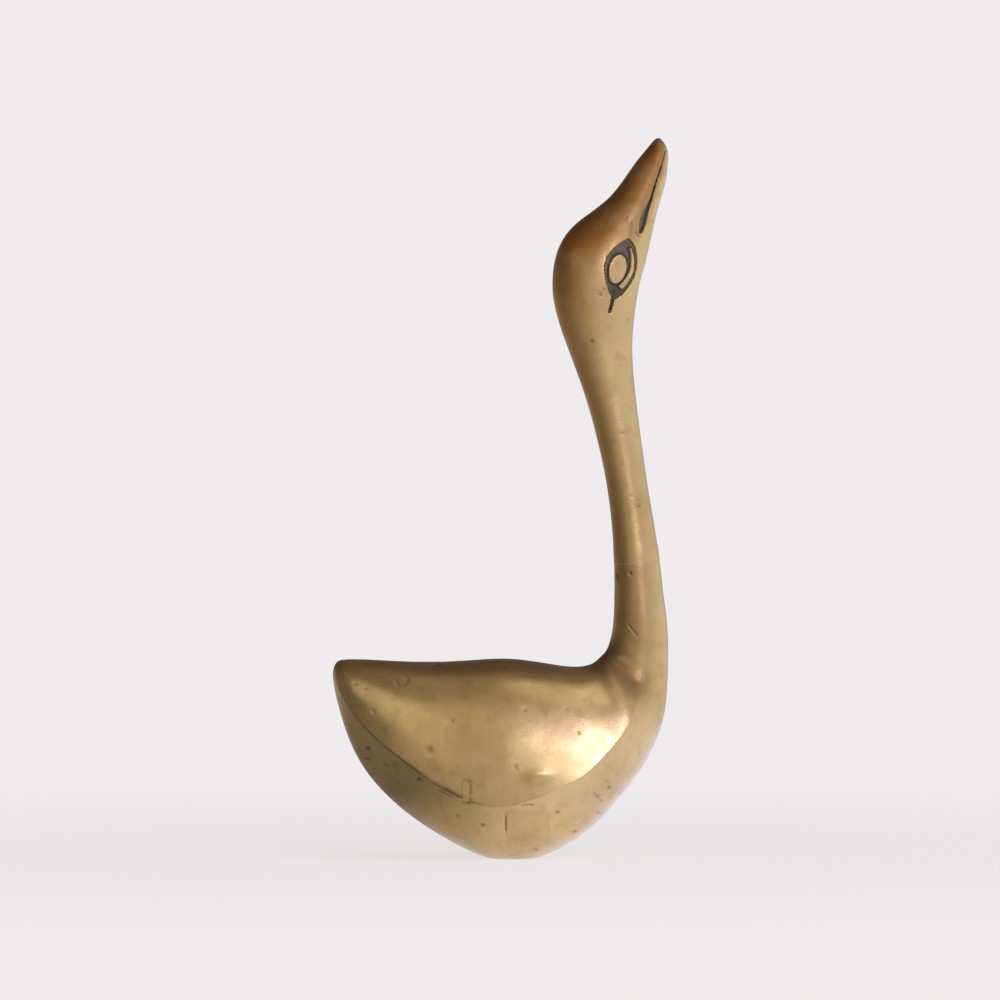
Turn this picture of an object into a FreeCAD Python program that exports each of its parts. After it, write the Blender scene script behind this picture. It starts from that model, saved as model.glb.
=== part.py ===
import FreeCAD, Part
import math
import os
from collections import namedtuple

from FreeCAD import Vector

# A long-necked brass duck that stands on a flat foot. Two body shells are cast open, brazed together along
# the bird's middle plane and dressed smooth. The neck and head are one solid casting, set over a dowel on
# the body's neck stub with a thin layer of braze between them. Small brass plugs are let into the right
# flank where the casting had flaws, and a dark filling lies in the engraved eyes and bill.
#
# Millimetres. +X points forwards to the breast, +Y to the bird's left, +Z up. The origin is the middle
# of the flat foot.

# ---------------------------------------------------------------- driving sizes
TAIL_REACH = 44.8          # tail tip behind the foot's middle
BREAST_REACH = 38.9        # breast ahead of the foot's middle
BACK_HEIGHT = 49.0         # back above the foot
BODY_WIDTH = 42.0          # across both flanks
FOOT_CUT = 1.1             # how much of the belly's bulge is ground away to make the foot
NECK_BASE_DEPTH = 13.6     # neck at the shoulders, front to rear
NECK_BASE_WIDTH = 12.6     # neck at the shoulders, side to side
NECK_LENGTH = 71.2         # shoulders to the base of the head
NECK_LEAN = 10.6           # how far the neck leans backwards over that length
NECK_DEPTH = 10.2          # thinnest part of the neck, front to rear
NECK_WIDTH = 9.8           # thinnest part of the neck, side to side
HEAD_DEPTH = 21.8          # crown to throat
HEAD_WIDTH = 15.8          # cheek to cheek
BILL_LENGTH = 23.0         # from the forehead to the bill's tip
BILL_DEPTH = 12.6          # bill near its root, top to underside
BILL_WIDTH = 10.8          # bill near its root, side to side

WALL = 3.2                 # thickness of the cast body shells
SEAM_THICKNESS = 0.3       # braze between the two shells
JOINT_RISE = 14.9          # neck joint above the shoulders
JOINT_THICKNESS = 0.3      # braze between the stub and the neck
DOWEL_DIAMETER = 5.0
DOWEL_LENGTH = 22.0
DOWEL_LEAN = 4.0           # degrees, so that the dowel follows the neck
DOWEL_CLEARANCE = 0.03     # radial
DOWEL_END_GAP = 0.2        # left free past each end of the dowel
VENT_DIAMETER = 4.0        # hole in the foot that let the gas out while brazing
VENT_BACK = 3.2            # that hole behind the middle of the foot
VENT_PLUG_RECESS = 0.3     # how far the vent plug stops short of the foot

PLUG_CLEARANCE = 0.02      # all round every plug
PLUG_DEPTH = 2.2           # how deep the flank plugs and the patch are let into the wall
TAIL_PLUG_DIAMETER = 2.6   # round plug near the tail
FLANK_PLUG_WIDTH = 2.2     # upright plug in the middle of the flank
FLANK_PLUG_HEIGHT = 5.8
PATCH_WIDTH = 10.6         # square patch low on the flank
PATCH_HEIGHT = 8.6

GROOVE_DEPTH = 0.75        # engraved lines of the eye and the bill
FILL_THICKNESS = 0.25      # dark filling on the floor of those lines
EYE_LENGTH = 15.2          # corner to corner
EYE_WIDTH = 8.1
EYE_RIB = 0.9              # the raised line inside the eye, halfway along; it widens downwards
PUPIL_LEAN = 14.0          # degrees, its top leans forwards
EYE_TAIL_WIDTH = 0.75      # the cut that runs back from the eye's lower corner
BILL_LINE_WIDTH = 1.5      # widest part of the line of the bill

ROUND = 0.5523             # share of a handle that turns a quarter of an ellipse
SAW = 30.0                 # half height of cutting prisms, longer than anything they cut

# ---------------------------------------------------------------- sections of the skin
# The skin runs from the tail's tip through the body, up the neck and out to the bill's tip. A section
# stands across it, from a point on the back, neck or crown to one on the belly, breast or throat.
# ridge is where the flank is widest, as a share of the way from back to belly. roof and crease are how
# far the skin leans in above and below it: 0 is smooth. shoulder and keel say how square the two ends are.
Section = namedtuple("Section", "back belly half_width ridge roof crease shoulder keel")

# The body, by shares: x of the reach to the tail or breast, z of the height from belly to back.
# back x, back z, belly x, belly z, half width, ridge, roof, crease, shoulder, keel
BODY_STATIONS = [
    (-1.000, 0.936, -1.000, 0.936, 0.00, 0.66, 0.00, 0.20, 0.60, 0.45),
    (-0.980, 0.992, -0.989, 0.856, 0.17, 0.66, 0.00, 0.20, 0.60, 0.45),
    (-0.929, 1.008, -0.953, 0.727, 0.32, 0.64, 0.00, 0.30, 0.62, 0.45),
    (-0.821, 1.008, -0.868, 0.531, 0.49, 0.63, 0.00, 0.32, 0.65, 0.47),
    (-0.654, 1.000, -0.716, 0.348, 0.69, 0.65, 0.02, 0.28, 0.68, 0.53),
    (-0.453, 0.996, -0.493, 0.184, 0.85, 0.69, 0.04, 0.20, 0.70, 0.60),
    (-0.263, 1.002, -0.250, 0.061, 0.95, 0.72, 0.05, 0.10, 0.72, 0.70),
    (-0.067, 1.012, 0.000, 0.000, 1.00, 0.71, 0.05, 0.05, 0.73, 0.78),
    (0.116, 1.001, 0.283, 0.058, 1.00, 0.68, 0.09, 0.06, 0.70, 0.74),
    (0.298, 0.979, 0.523, 0.180, 0.965, 0.67, 0.14, 0.09, 0.66, 0.68),
    (0.424, 0.972, 0.708, 0.337, 0.855, 0.65, 0.17, 0.11, 0.62, 0.64),
    (0.513, 0.987, 0.847, 0.485, 0.71, 0.63, 0.15, 0.10, 0.58, 0.60),
    (0.564, 1.018, 0.934, 0.625, 0.55, 0.61, 0.08, 0.08, 0.60, 0.56),
    (0.606, 1.054, 0.980, 0.746, 0.365, 0.57, 0.02, 0.04, ROUND, ROUND),
    (0.633, 1.112, 1.000, 0.902, 0.312, 0.53, 0.00, 0.00, ROUND, ROUND),
]
CAVITY_STATIONS = (6, 12)    # the cast hollow runs between these two; the tail is solid and balances the neck

# The neck, by shares of its length and lean, then its depth and width between the thinnest part (0)
# and the shoulders (1), and how far its front hangs in degrees.
LOWER_NECK = [
    (0.000, 0.000, 1.00, 1.00, 8.0),
    (0.100, 0.035, 0.62, 0.74, 2.0),
    (0.218, 0.086, 0.36, 0.46, 0.0),
    (0.434, 0.262, 0.00, 0.00, -3.0),
]
# The same between the thinnest part (0) and the head (1).
UPPER_NECK = [
    (0.650, 0.508, 0.06, 0.06, -5.0),
    (0.854, 0.790, 0.28, 0.28, -4.0),
    (1.000, 1.000, 0.61, 0.60, 3.0),
]
# The head: forward and upward of the neck's top, depth and width in shares of the head's depth and width.
HEAD = [
    (-0.041, 0.367, 0.94, 0.94, 7.0),
    (-0.023, 0.670, 1.00, 1.00, 9.0),
    (0.037, 0.917, 1.01, 0.98, 10.5),
    (0.138, 1.147, 0.92, 0.89, 13.5),
]
# The bill: forward and upward of its root in shares of its length, depth and width in shares of its own.
BILL = [
    (0.000, 0.000, 1.28, 1.16, 18.0),
    (0.126, 0.182, 0.99, 1.00, 21.0),
    (0.230, 0.372, 0.82, 0.91, 27.0),
    (0.326, 0.566, 0.69, 0.80, 36.0),
    (0.396, 0.720, 0.53, 0.65, 44.0),
    (0.426, 0.826, 0.36, 0.46, 40.0),
]
BILL_TIP = (0.414, 0.912)
ROOT_FORWARD, ROOT_UP = 0.271, 1.326    # the bill's root from the neck's top, in head depths


def shoulder_middle():
    """The middle of the neck where it rises from the shoulders."""
    return Vector(BREAST_REACH - NECK_BASE_DEPTH / 2, 0, 1.196 * BACK_HEIGHT)


def head_base():
    """The middle of the neck where the head begins."""
    return shoulder_middle() + Vector(-NECK_LEAN, 0, NECK_LENGTH)


def bill_root():
    """The middle of the bill where it leaves the forehead."""
    return head_base() + Vector(ROOT_FORWARD, 0, ROOT_UP) * HEAD_DEPTH


def level_section(middle, depth, width, tilt):
    """A round section by its middle; tilt is how far its front end hangs, in degrees."""
    half = Vector(math.cos(math.radians(tilt)), 0, -math.sin(math.radians(tilt))) * (depth / 2)
    return Section(middle - half, middle + half, width / 2, 0.5, 0.0, 0.0, ROUND, ROUND)


def point_section(tip):
    return Section(tip, tip, 0.0, 0.5, 0.0, 0.0, ROUND, ROUND)


def body_sections():
    def place(x, z):
        reach = TAIL_REACH if x < 0 else BREAST_REACH
        return Vector(x * reach, 0, z * (BACK_HEIGHT + FOOT_CUT) - FOOT_CUT)

    return [Section(place(back_x, back_z), place(belly_x, belly_z), width * BODY_WIDTH / 2, *shape)
            for back_x, back_z, belly_x, belly_z, width, *shape in BODY_STATIONS]


def neck_sections():
    def rows(table, end_depth, end_width):
        return [level_section(shoulder_middle() + Vector(-lean * NECK_LEAN, 0, up * NECK_LENGTH),
                              NECK_DEPTH + deep * (end_depth - NECK_DEPTH),
                              NECK_WIDTH + wide * (end_width - NECK_WIDTH), tilt)
                for up, lean, deep, wide, tilt in table]

    return rows(LOWER_NECK, NECK_BASE_DEPTH, NECK_BASE_WIDTH) + rows(UPPER_NECK, HEAD_DEPTH, HEAD_WIDTH)


def head_sections():
    return [level_section(head_base() + Vector(ahead, 0, up) * HEAD_DEPTH,
                          deep * HEAD_DEPTH, wide * HEAD_WIDTH, tilt)
            for ahead, up, deep, wide, tilt in HEAD]


def bill_sections():
    rows = [level_section(bill_root() + Vector(ahead, 0, up) * BILL_LENGTH,
                          deep * BILL_DEPTH, wide * BILL_WIDTH, tilt)
            for ahead, up, deep, wide, tilt in BILL]
    return rows + [point_section(bill_root() + Vector(BILL_TIP[0], 0, BILL_TIP[1]) * BILL_LENGTH)]


def inset(section, depth):
    """The same section taken in by depth all round."""
    along = (section.belly - section.back).normalize() * depth
    return section._replace(back=section.back + along, belly=section.belly - along,
                            half_width=section.half_width - depth)


# ---------------------------------------------------------------- solids from sections
def control_points(section, side):
    """Seven control points of half a section: two cubic curves that meet on the ridge."""
    out = Vector(0, side * section.half_width, 0)
    ridge = section.back + (section.belly - section.back) * section.ridge
    return [
        section.back,
        section.back + out * section.shoulder,
        ridge + (section.back - ridge) * section.shoulder + out * (1 - section.roof),
        ridge + out,
        ridge + (section.belly - ridge) * ROUND + out * (1 - section.crease),
        section.belly + out * section.keel,
        section.belly,
    ]


def lengths_along(sections):
    """Parameters that follow how far the skin runs on average from one section to the next."""
    points = [control_points(section, 1) for section in sections]
    at = [0.0]
    for last, this in zip(points, points[1:]):
        at.append(at[-1] + sum((b - a).Length for a, b in zip(last, this)) / len(this))
    return at


def strip(curves):
    """The surface whose sections are the cubic curves held by four rows of control points."""
    surface = Part.BSplineSurface()
    surface.buildFromPolesMultsKnots([curve.getPoles() for curve in curves], [4, 4],
                                     curves[0].getMultiplicities(), [0.0, 1.0], curves[0].getKnots(),
                                     False, False, 3, 3)
    return surface


def skin(sections, at):
    """The solid inside the skin through the sections, closed flat across an end that isn't a point."""
    faces = []
    arcs = {0: [], -1: []}
    for side in (1, -1):
        rows = list(zip(*[control_points(section, side) for section in sections]))
        curves = []
        for row in rows:
            curve = Part.BSplineCurve()
            curve.interpolate(Points=list(row), Parameters=at)
            curves.append(curve)
        for four in (curves[:4], curves[3:]):
            faces.append(strip(four).toShape())
            for end in arcs:
                arc = Part.BezierCurve()
                arc.setPoles([curve.getPoles()[end] for curve in four])
                arcs[end].append(arc)
    for end, loop in arcs.items():
        if sections[end].half_width > 0:
            edges = [arc.toShape() for arc in loop]
            faces.append(Part.Face(Part.Wire(Part.__sortEdges__(edges))))
    shell = Part.Shell(faces)
    shell.sewShape()
    solid = Part.Solid(shell)
    if solid.Volume < 0:
        solid.reverse()
    return solid


def save(name, shape):
    if len(shape.Solids) != 1 or not shape.isValid():
        raise ValueError(name + " is not one sound solid")
    shape.Solids[0].exportStep(os.path.join("parts", name + ".step"))


# ---------------------------------------------------------------- cutting shapes
def across(outline, nearest, farthest):
    """A prism through a flat outline drawn in the middle plane, between two distances from that plane."""
    moved = outline.copy()
    moved.translate(Vector(0, nearest, 0))
    return moved.extrude(Vector(0, farthest - nearest, 0))


def rectangle(middle, width, height):
    corner = middle - Vector(width / 2, 0, height / 2)
    right, up = Vector(width, 0, 0), Vector(0, 0, height)
    loop = Part.makePolygon([corner, corner + right, corner + right + up, corner + up, corner])
    return Part.Face(loop)


def disc(middle, diameter):
    circle = Part.Circle(middle, Vector(0, 1, 0), diameter / 2)
    return Part.Face(Part.Wire(circle.toShape()))


def smooth_edge(points):
    curve = Part.BSplineCurve()
    curve.interpolate(Points=points)
    return curve.toShape()


def slab(low, high, foot, lean):
    """All that lies between two heights above a point, with the slab leaning back by so many degrees."""
    box = Part.makeBox(2 * SAW, 2 * SAW, high - low, Vector(-SAW, -SAW, low))
    box.rotate(Vector(), Vector(0, 1, 0), -lean)
    box.translate(foot)
    return box


def layer(low, high):
    """All that lies between two distances to the left of the middle plane."""
    corner = Vector(-TAIL_REACH - SAW, low, -SAW)
    return Part.makeBox(TAIL_REACH + BREAST_REACH + 2 * SAW, high - low, 2 * BACK_HEIGHT + 2 * SAW, corner)


# ---------------------------------------------------------------- the whole bird and its hollow
os.makedirs("parts", exist_ok=True)
outer = body_sections() + neck_sections() + head_sections() + bill_sections()
stations = lengths_along(outer)


def core(first, last, depth):
    """The solid that lies deeper than depth under the skin, between two stations."""
    return skin([inset(section, depth) for section in outer[first:last + 1]], stations[first:last + 1])


bird = skin(outer, stations)
hollow = core(CAVITY_STATIONS[0], CAVITY_STATIONS[1], WALL)

# ---------------------------------------------------------------- neck joint
neck_run = Vector(-math.sin(math.radians(DOWEL_LEAN)), 0, math.cos(math.radians(DOWEL_LEAN)))
joint = shoulder_middle() + neck_run * JOINT_RISE
upper = slab(JOINT_THICKNESS / 2, 2 * NECK_LENGTH, joint, DOWEL_LEAN)
lower = slab(-JOINT_THICKNESS / 2, 2 * NECK_LENGTH, joint, DOWEL_LEAN)
ground = slab(-SAW, 0, Vector(), 0)

dowel = Part.makeCylinder(DOWEL_DIAMETER / 2, DOWEL_LENGTH, joint - neck_run * (DOWEL_LENGTH / 2), neck_run)
hole_length = DOWEL_LENGTH + 2 * DOWEL_END_GAP
dowel_hole = Part.makeCylinder(DOWEL_DIAMETER / 2 + DOWEL_CLEARANCE, hole_length,
                               joint - neck_run * (hole_length / 2), neck_run)

# ---------------------------------------------------------------- plugs let into the right flank
def spot(forward, up):
    """A point of the middle plane, by shares of the reach to the tail or breast and of the back's height."""
    reach = TAIL_REACH if forward < 0 else BREAST_REACH
    return Vector(forward * reach, 0, up * BACK_HEIGHT)


near_skin = core(2, 12, PLUG_DEPTH)
wider = 2 * PLUG_CLEARANCE
plug_outlines = {
    "tail_plug": [disc(spot(-0.603, 0.911), TAIL_PLUG_DIAMETER + more) for more in (0, wider)],
    "flank_plug": [rectangle(spot(-0.254, 0.352), FLANK_PLUG_WIDTH + more, FLANK_PLUG_HEIGHT + more)
                   for more in (0, wider)],
    "belly_patch": [rectangle(spot(0.100, 0.163), PATCH_WIDTH + more, PATCH_HEIGHT + more)
                    for more in (0, wider)],
}
plugs = {}
pockets = []
for name, (outline, pocket) in plug_outlines.items():
    plugs[name] = across(outline, -WALL, -SAW).common(bird).cut(near_skin)
    pockets.append(across(pocket, -WALL, -SAW).cut(near_skin))

# ---------------------------------------------------------------- body
wall = bird.cut(lower).cut(ground).cut(hollow).cut(dowel_hole)
vent_hole = Part.makeCylinder(VENT_DIAMETER / 2 + PLUG_CLEARANCE, 2 * WALL, Vector(-VENT_BACK, 0, 0))
vent_plug = Part.makeCylinder(VENT_DIAMETER / 2, 2 * WALL, Vector(-VENT_BACK, 0, VENT_PLUG_RECESS))
vent_plug = vent_plug.cut(hollow)
wall = wall.cut(vent_hole)
half_seam = SEAM_THICKNESS / 2
right = wall.common(layer(-2 * SAW, -half_seam))
left = wall.common(layer(half_seam, 2 * SAW))
seam = wall.common(layer(-half_seam, half_seam))
for pocket in pockets:
    right = right.cut(pocket)

# ---------------------------------------------------------------- engraved eyes and bill
def ribbon(run, widths):
    """A flat strip that follows a run of points with a width at each of them."""
    sides = [[], []]
    for k, point in enumerate(run):
        before, after = run[max(k - 1, 0)], run[min(k + 1, len(run) - 1)]
        square = (after - before).cross(Vector(0, 1, 0)).normalize() * (widths[k] / 2)
        sides[0].append(point + square)
        sides[1].append(point - square)
    ends = [Part.makeLine(sides[0][k], sides[1][k]) for k in (0, -1)]
    edges = [smooth_edge(side) for side in sides] + ends
    return Part.Face(Part.Wire(Part.__sortEdges__(edges)))


def eye_outline():
    """What is cut for an eye: an almond and its tail, with the pupil and a curved rib left standing."""
    middle = head_base() + Vector(0.255, 0, 0.785) * HEAD_DEPTH

    def place(ahead, up):
        return middle + Vector(ahead * EYE_WIDTH, 0, up * EYE_LENGTH)

    low, high = place(-0.235, -0.505), place(0.245, 0.490)
    rear = [low, place(-0.375, -0.345), place(-0.478, -0.125), place(-0.500, 0.030), place(-0.425, 0.180),
            place(-0.262, 0.290), place(-0.035, 0.400), high]
    front = [low, place(0.005, -0.442), place(0.172, -0.343), place(0.339, -0.228), place(0.450, -0.103),
             place(0.504, 0.022), place(0.515, 0.147), place(0.485, 0.275), place(0.385, 0.405), high]
    almond = Part.Face(Part.Wire([smooth_edge(rear), smooth_edge(front)]))
    tail_run = [place(-0.225, -0.450), place(-0.262, -0.545), place(-0.300, -0.630), place(-0.350, -0.725)]
    tail = ribbon(tail_run, [share * EYE_TAIL_WIDTH for share in (1.0, 1.0, 0.95, 0.8)])
    rib_run = [place(0.289, 0.341), place(0.351, 0.244), place(0.378, 0.129), place(0.369, 0.022),
               place(0.301, -0.097), place(0.199, -0.185), place(0.091, -0.261), place(-0.014, -0.323)]
    rib = ribbon(rib_run, [share * EYE_RIB for share in (0.55, 0.80, 1.00, 1.00, 1.15, 1.30, 1.40, 1.40)])
    pupil_curve = Part.Ellipse(Vector(), 0.247 * EYE_LENGTH, 0.272 * EYE_WIDTH).toShape()
    pupil = Part.Face(Part.Wire(pupil_curve))
    pupil.rotate(Vector(), Vector(1, 0, 0), 90)
    pupil.rotate(Vector(), Vector(0, 1, 0), PUPIL_LEAN - 90)
    pupil.translate(place(-0.091, -0.011))
    return almond.fuse(tail).removeSplitter().cut(pupil).cut(rib)


def bill_outline():
    """What is cut for the line of the bill: it swells from a hair near the tip to its blunt lower end."""
    run = [bill_root() + Vector(ahead, 0, up) * BILL_LENGTH
           for ahead, up in ((0.429, 0.599), (0.393, 0.492), (0.334, 0.304), (0.305, 0.209), (0.269, 0.127),
                             (0.236, 0.020), (0.214, -0.073), (0.198, -0.127))]
    return ribbon(run, [share * BILL_LINE_WIDTH for share in (0.19, 0.21, 0.29, 0.46, 0.72, 1.00, 0.80, 0.36)])


neck = bird.common(upper).cut(dowel_hole)
braze = bird.common(lower).cut(upper).cut(dowel_hole)
floor = core(len(BODY_STATIONS) + 4, len(outer) - 3, GROOVE_DEPTH)
fill_top = core(len(BODY_STATIONS) + 4, len(outer) - 3, GROOVE_DEPTH - FILL_THICKNESS)
fills = {}
for mark, outline in (("eye", eye_outline()), ("bill", bill_outline())):
    for side_name, side in (("right", -1), ("left", 1)):
        prism = across(outline, side * GROOVE_DEPTH, side * HEAD_WIDTH)
        neck = neck.cut(prism.cut(floor))
        fills[side_name + "_" + mark + "_fill"] = prism.common(fill_top).cut(floor)

# ---------------------------------------------------------------- what is handed on
save("body_shell_left", left)
save("body_shell_right", right)
save("body_seam_braze", seam)
save("neck_and_head", neck)
save("neck_joint_braze", braze)
save("neck_dowel", dowel)
save("vent_plug", vent_plug)
for name, shape in {**plugs, **fills}.items():
    save(name, shape)
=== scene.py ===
import math

import bmesh
import bpy
import numpy as np
from mathutils import Matrix, Vector, noise
from mathutils.bvhtree import BVHTree


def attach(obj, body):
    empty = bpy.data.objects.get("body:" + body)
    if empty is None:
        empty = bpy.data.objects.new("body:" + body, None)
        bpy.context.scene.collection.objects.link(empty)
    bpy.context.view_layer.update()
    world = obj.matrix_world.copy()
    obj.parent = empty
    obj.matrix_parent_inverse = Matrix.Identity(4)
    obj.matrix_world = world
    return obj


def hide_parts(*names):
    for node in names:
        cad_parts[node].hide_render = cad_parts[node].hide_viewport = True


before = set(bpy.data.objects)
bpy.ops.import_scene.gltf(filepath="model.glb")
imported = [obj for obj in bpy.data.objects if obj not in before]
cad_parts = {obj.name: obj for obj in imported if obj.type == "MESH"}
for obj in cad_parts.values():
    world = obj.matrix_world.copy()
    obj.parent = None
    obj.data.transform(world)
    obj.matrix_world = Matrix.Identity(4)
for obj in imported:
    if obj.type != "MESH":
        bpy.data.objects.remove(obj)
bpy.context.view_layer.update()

# ---------------------------------------------------------------------------
# BODY SHELLS
# Two open brass castings, right and left, brazed together along the bird's middle plane, then filed and
# polished by hand, so they are never quite even. The tail is cast solid and balances the neck. A crisp edge
# runs from the tail down each flank and melts away before the breast.

mm = 0.001
tail_reach = 44.8
breast_reach = 38.9
back_height = 49.0
ground_away = 1.1          # the belly's bulge that is ground off to make the foot
flank = 21.0
wall = 3.2
half_seam = 0.15
quarter_round = 0.5523

# Each rib of the skin: back x, back z, belly x, belly z, half width, ridge, roof, crease, shoulder, keel.
# x is in shares of the reach to the tail or the breast, z of the height from belly to back, the half width
# of the flank's. Ridge is how far down the widest place lies. Roof and crease draw the skin in just above
# and just below it. Shoulder and keel say how full the rib is at the back and at the belly.
body_ribs = [
    (-1.000, 0.936, -1.000, 0.936, 0.00, 0.66, 0.00, 0.20, 0.60, 0.45),
    (-0.980, 0.992, -0.989, 0.856, 0.17, 0.66, 0.00, 0.20, 0.60, 0.45),
    (-0.929, 1.008, -0.953, 0.727, 0.32, 0.64, 0.00, 0.30, 0.62, 0.45),
    (-0.821, 1.008, -0.868, 0.531, 0.49, 0.63, 0.00, 0.32, 0.65, 0.47),
    (-0.654, 1.000, -0.716, 0.348, 0.69, 0.65, 0.02, 0.28, 0.68, 0.53),
    (-0.453, 0.996, -0.493, 0.184, 0.85, 0.69, 0.04, 0.20, 0.70, 0.60),
    (-0.263, 1.002, -0.250, 0.061, 0.95, 0.72, 0.05, 0.10, 0.72, 0.70),
    (-0.067, 1.012, 0.000, 0.000, 1.00, 0.71, 0.05, 0.05, 0.73, 0.78),
    (0.116, 1.001, 0.283, 0.058, 1.00, 0.68, 0.09, 0.06, 0.70, 0.74),
    (0.298, 0.979, 0.523, 0.180, 0.965, 0.67, 0.14, 0.09, 0.66, 0.68),
    (0.424, 0.972, 0.708, 0.337, 0.855, 0.65, 0.17, 0.11, 0.62, 0.64),
    (0.513, 0.987, 0.847, 0.485, 0.71, 0.63, 0.15, 0.10, 0.58, 0.60),
    (0.564, 1.018, 0.934, 0.625, 0.55, 0.61, 0.08, 0.08, 0.60, 0.56),
    (0.606, 1.054, 0.980, 0.746, 0.365, 0.57, 0.02, 0.04, quarter_round, quarter_round),
    (0.633, 1.112, 1.000, 0.902, 0.312, 0.53, 0.00, 0.00, quarter_round, quarter_round),
]


def rib_points(back, belly, half, ridge=0.5, roof=0.0, crease=0.0,
               shoulder=quarter_round, keel=quarter_round):
    """Seven points that hold half of one cross-section: back, flank, ridge, flank, belly."""
    back = np.array([back[0], 0.0, back[1]])
    belly = np.array([belly[0], 0.0, belly[1]])
    out = np.array([0.0, half, 0.0])
    edge = back + (belly - back) * ridge
    return [back, back + out * shoulder, edge + (back - edge) * shoulder + out * (1 - roof), edge + out,
            edge + (belly - edge) * quarter_round + out * (1 - crease), belly + out * keel, belly]


def body_place(x, z):
    """A place in mm from its shares of the reach and of the height."""
    reach = tail_reach if x < 0 else breast_reach
    return x * reach, z * (back_height + ground_away) - ground_away


skin_ribs = [rib_points(body_place(bx, bz), body_place(ox, oz), w * flank, *shape)
             for bx, bz, ox, oz, w, *shape in body_ribs]

# The neck, the head and the bill grow out of the same skin, with round ribs.
shoulder_depth, shoulder_width = 13.6, 12.6
neck_length, neck_lean = 71.2, 10.6
neck_depth, neck_width = 10.2, 9.8
head_depth, head_width = 21.8, 15.8
bill_length, bill_depth, bill_width = 23.0, 12.6, 10.8
shoulder_x, shoulder_z = breast_reach - shoulder_depth / 2, 1.196 * back_height
nape_x, nape_z = shoulder_x - neck_lean, shoulder_z + neck_length
root_x, root_z = nape_x + 0.271 * head_depth, nape_z + 1.326 * head_depth


def round_rib(x, z, depth, width, hang):
    """An oval rib about its middle."""
    ahead, down = math.cos(math.radians(hang)) * depth / 2, math.sin(math.radians(hang)) * depth / 2
    return rib_points((x - ahead, z + down), (x + ahead, z - down), width / 2)


# The neck, below and above its thinnest place: height and lean in shares of the neck's, then depth and
# width in shares of the way from thinnest to thickest, and by how many degrees the front hangs.
lower_neck_ribs = [(0.000, 0.000, 1.00, 1.00, 8.0), (0.100, 0.035, 0.62, 0.74, 2.0),
                   (0.218, 0.086, 0.36, 0.46, 0.0), (0.434, 0.262, 0.00, 0.00, -3.0)]
upper_neck_ribs = [(0.650, 0.508, 0.06, 0.06, -5.0), (0.854, 0.790, 0.28, 0.28, -4.0),
                   (1.000, 1.000, 0.61, 0.60, 3.0)]
for thick_depth, thick_width, ribs in ((shoulder_depth, shoulder_width, lower_neck_ribs),
                                       (head_depth, head_width, upper_neck_ribs)):
    for up, lean, deep, wide, hang in ribs:
        skin_ribs.append(round_rib(shoulder_x - lean * neck_lean, shoulder_z + up * neck_length,
                                   neck_depth + deep * (thick_depth - neck_depth),
                                   neck_width + wide * (thick_width - neck_width), hang))

# The head and the bill: place ahead of and above the nape or the bill's root, in shares of the head's depth
# or the bill's length, then depth and width in shares of the greatest, and the degrees again.
head_ribs = [(-0.041, 0.367, 0.94, 0.94, 7.0), (-0.023, 0.670, 1.00, 1.00, 9.0),
             (0.037, 0.917, 1.01, 0.98, 10.5), (0.138, 1.147, 0.92, 0.89, 13.5)]
bill_ribs = [(0.000, 0.000, 1.28, 1.16, 18.0), (0.126, 0.182, 0.99, 1.00, 21.0),
             (0.230, 0.372, 0.82, 0.91, 27.0), (0.326, 0.566, 0.69, 0.80, 36.0),
             (0.396, 0.720, 0.53, 0.65, 44.0), (0.426, 0.826, 0.36, 0.46, 40.0),
             (0.414, 0.912, 0.00, 0.00, 0.0)]
for start_x, start_z, unit, depth, width, ribs in (
        (nape_x, nape_z, head_depth, head_depth, head_width, head_ribs),
        (root_x, root_z, bill_length, bill_depth, bill_width, bill_ribs)):
    for ahead, up, deep, wide, hang in ribs:
        skin_ribs.append(round_rib(start_x + ahead * unit, start_z + up * unit,
                                   deep * depth, wide * width, hang))
skin_ribs = np.array(skin_ribs)

# how far along the bird each rib lies, from the tail's tip to the bill's tip, in mm
rib_at = np.concatenate([[0.0], np.cumsum(np.linalg.norm(np.diff(skin_ribs, axis=0), axis=2).mean(axis=1))])


def smooth_run(at, values, u):
    """Values at u on the smooth curve through the given ones, the way a batten bends through pins."""
    n = len(at)
    gap = np.diff(at)
    flat = values.reshape(n, -1)
    rise = np.diff(flat, axis=0) / gap[:, None]

    def end_slope(a, b, c, d):
        """Slope at the first of four pins of the plain cubic that passes through them."""
        ab, bc, cd = [(flat[q] - flat[p]) / (at[q] - at[p]) for p, q in ((a, b), (b, c), (c, d))]
        abc, bcd = (bc - ab) / (at[c] - at[a]), (cd - bc) / (at[d] - at[b])
        return ab + abc * (at[a] - at[b]) + (bcd - abc) / (at[d] - at[a]) * (at[a] - at[b]) * (at[a] - at[c])

    pull = np.zeros((n, n))
    load = np.zeros_like(flat)
    pull[0, :2] = 2 * gap[0], gap[0]
    load[0] = 6 * (rise[0] - end_slope(0, 1, 2, 3))
    pull[-1, -2:] = gap[-1], 2 * gap[-1]
    load[-1] = 6 * (end_slope(n - 1, n - 2, n - 3, n - 4) - rise[-1])
    for k in range(1, n - 1):
        pull[k, k - 1:k + 2] = gap[k - 1], 2 * (gap[k - 1] + gap[k]), gap[k]
        load[k] = 6 * (rise[k] - rise[k - 1])
    bend = np.linalg.solve(pull, load)
    k = np.clip(np.searchsorted(at, u) - 1, 0, n - 2)
    s = (np.asarray(u) - at[k])[:, None]
    h = gap[k][:, None]
    run = (flat[k] + s * (rise[k] - h * (2 * bend[k] + bend[k + 1]) / 6)
           + s ** 2 * bend[k] / 2 + s ** 3 * (bend[k + 1] - bend[k]) / (6 * h))
    return run.reshape((len(run),) + values.shape[1:])


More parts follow.
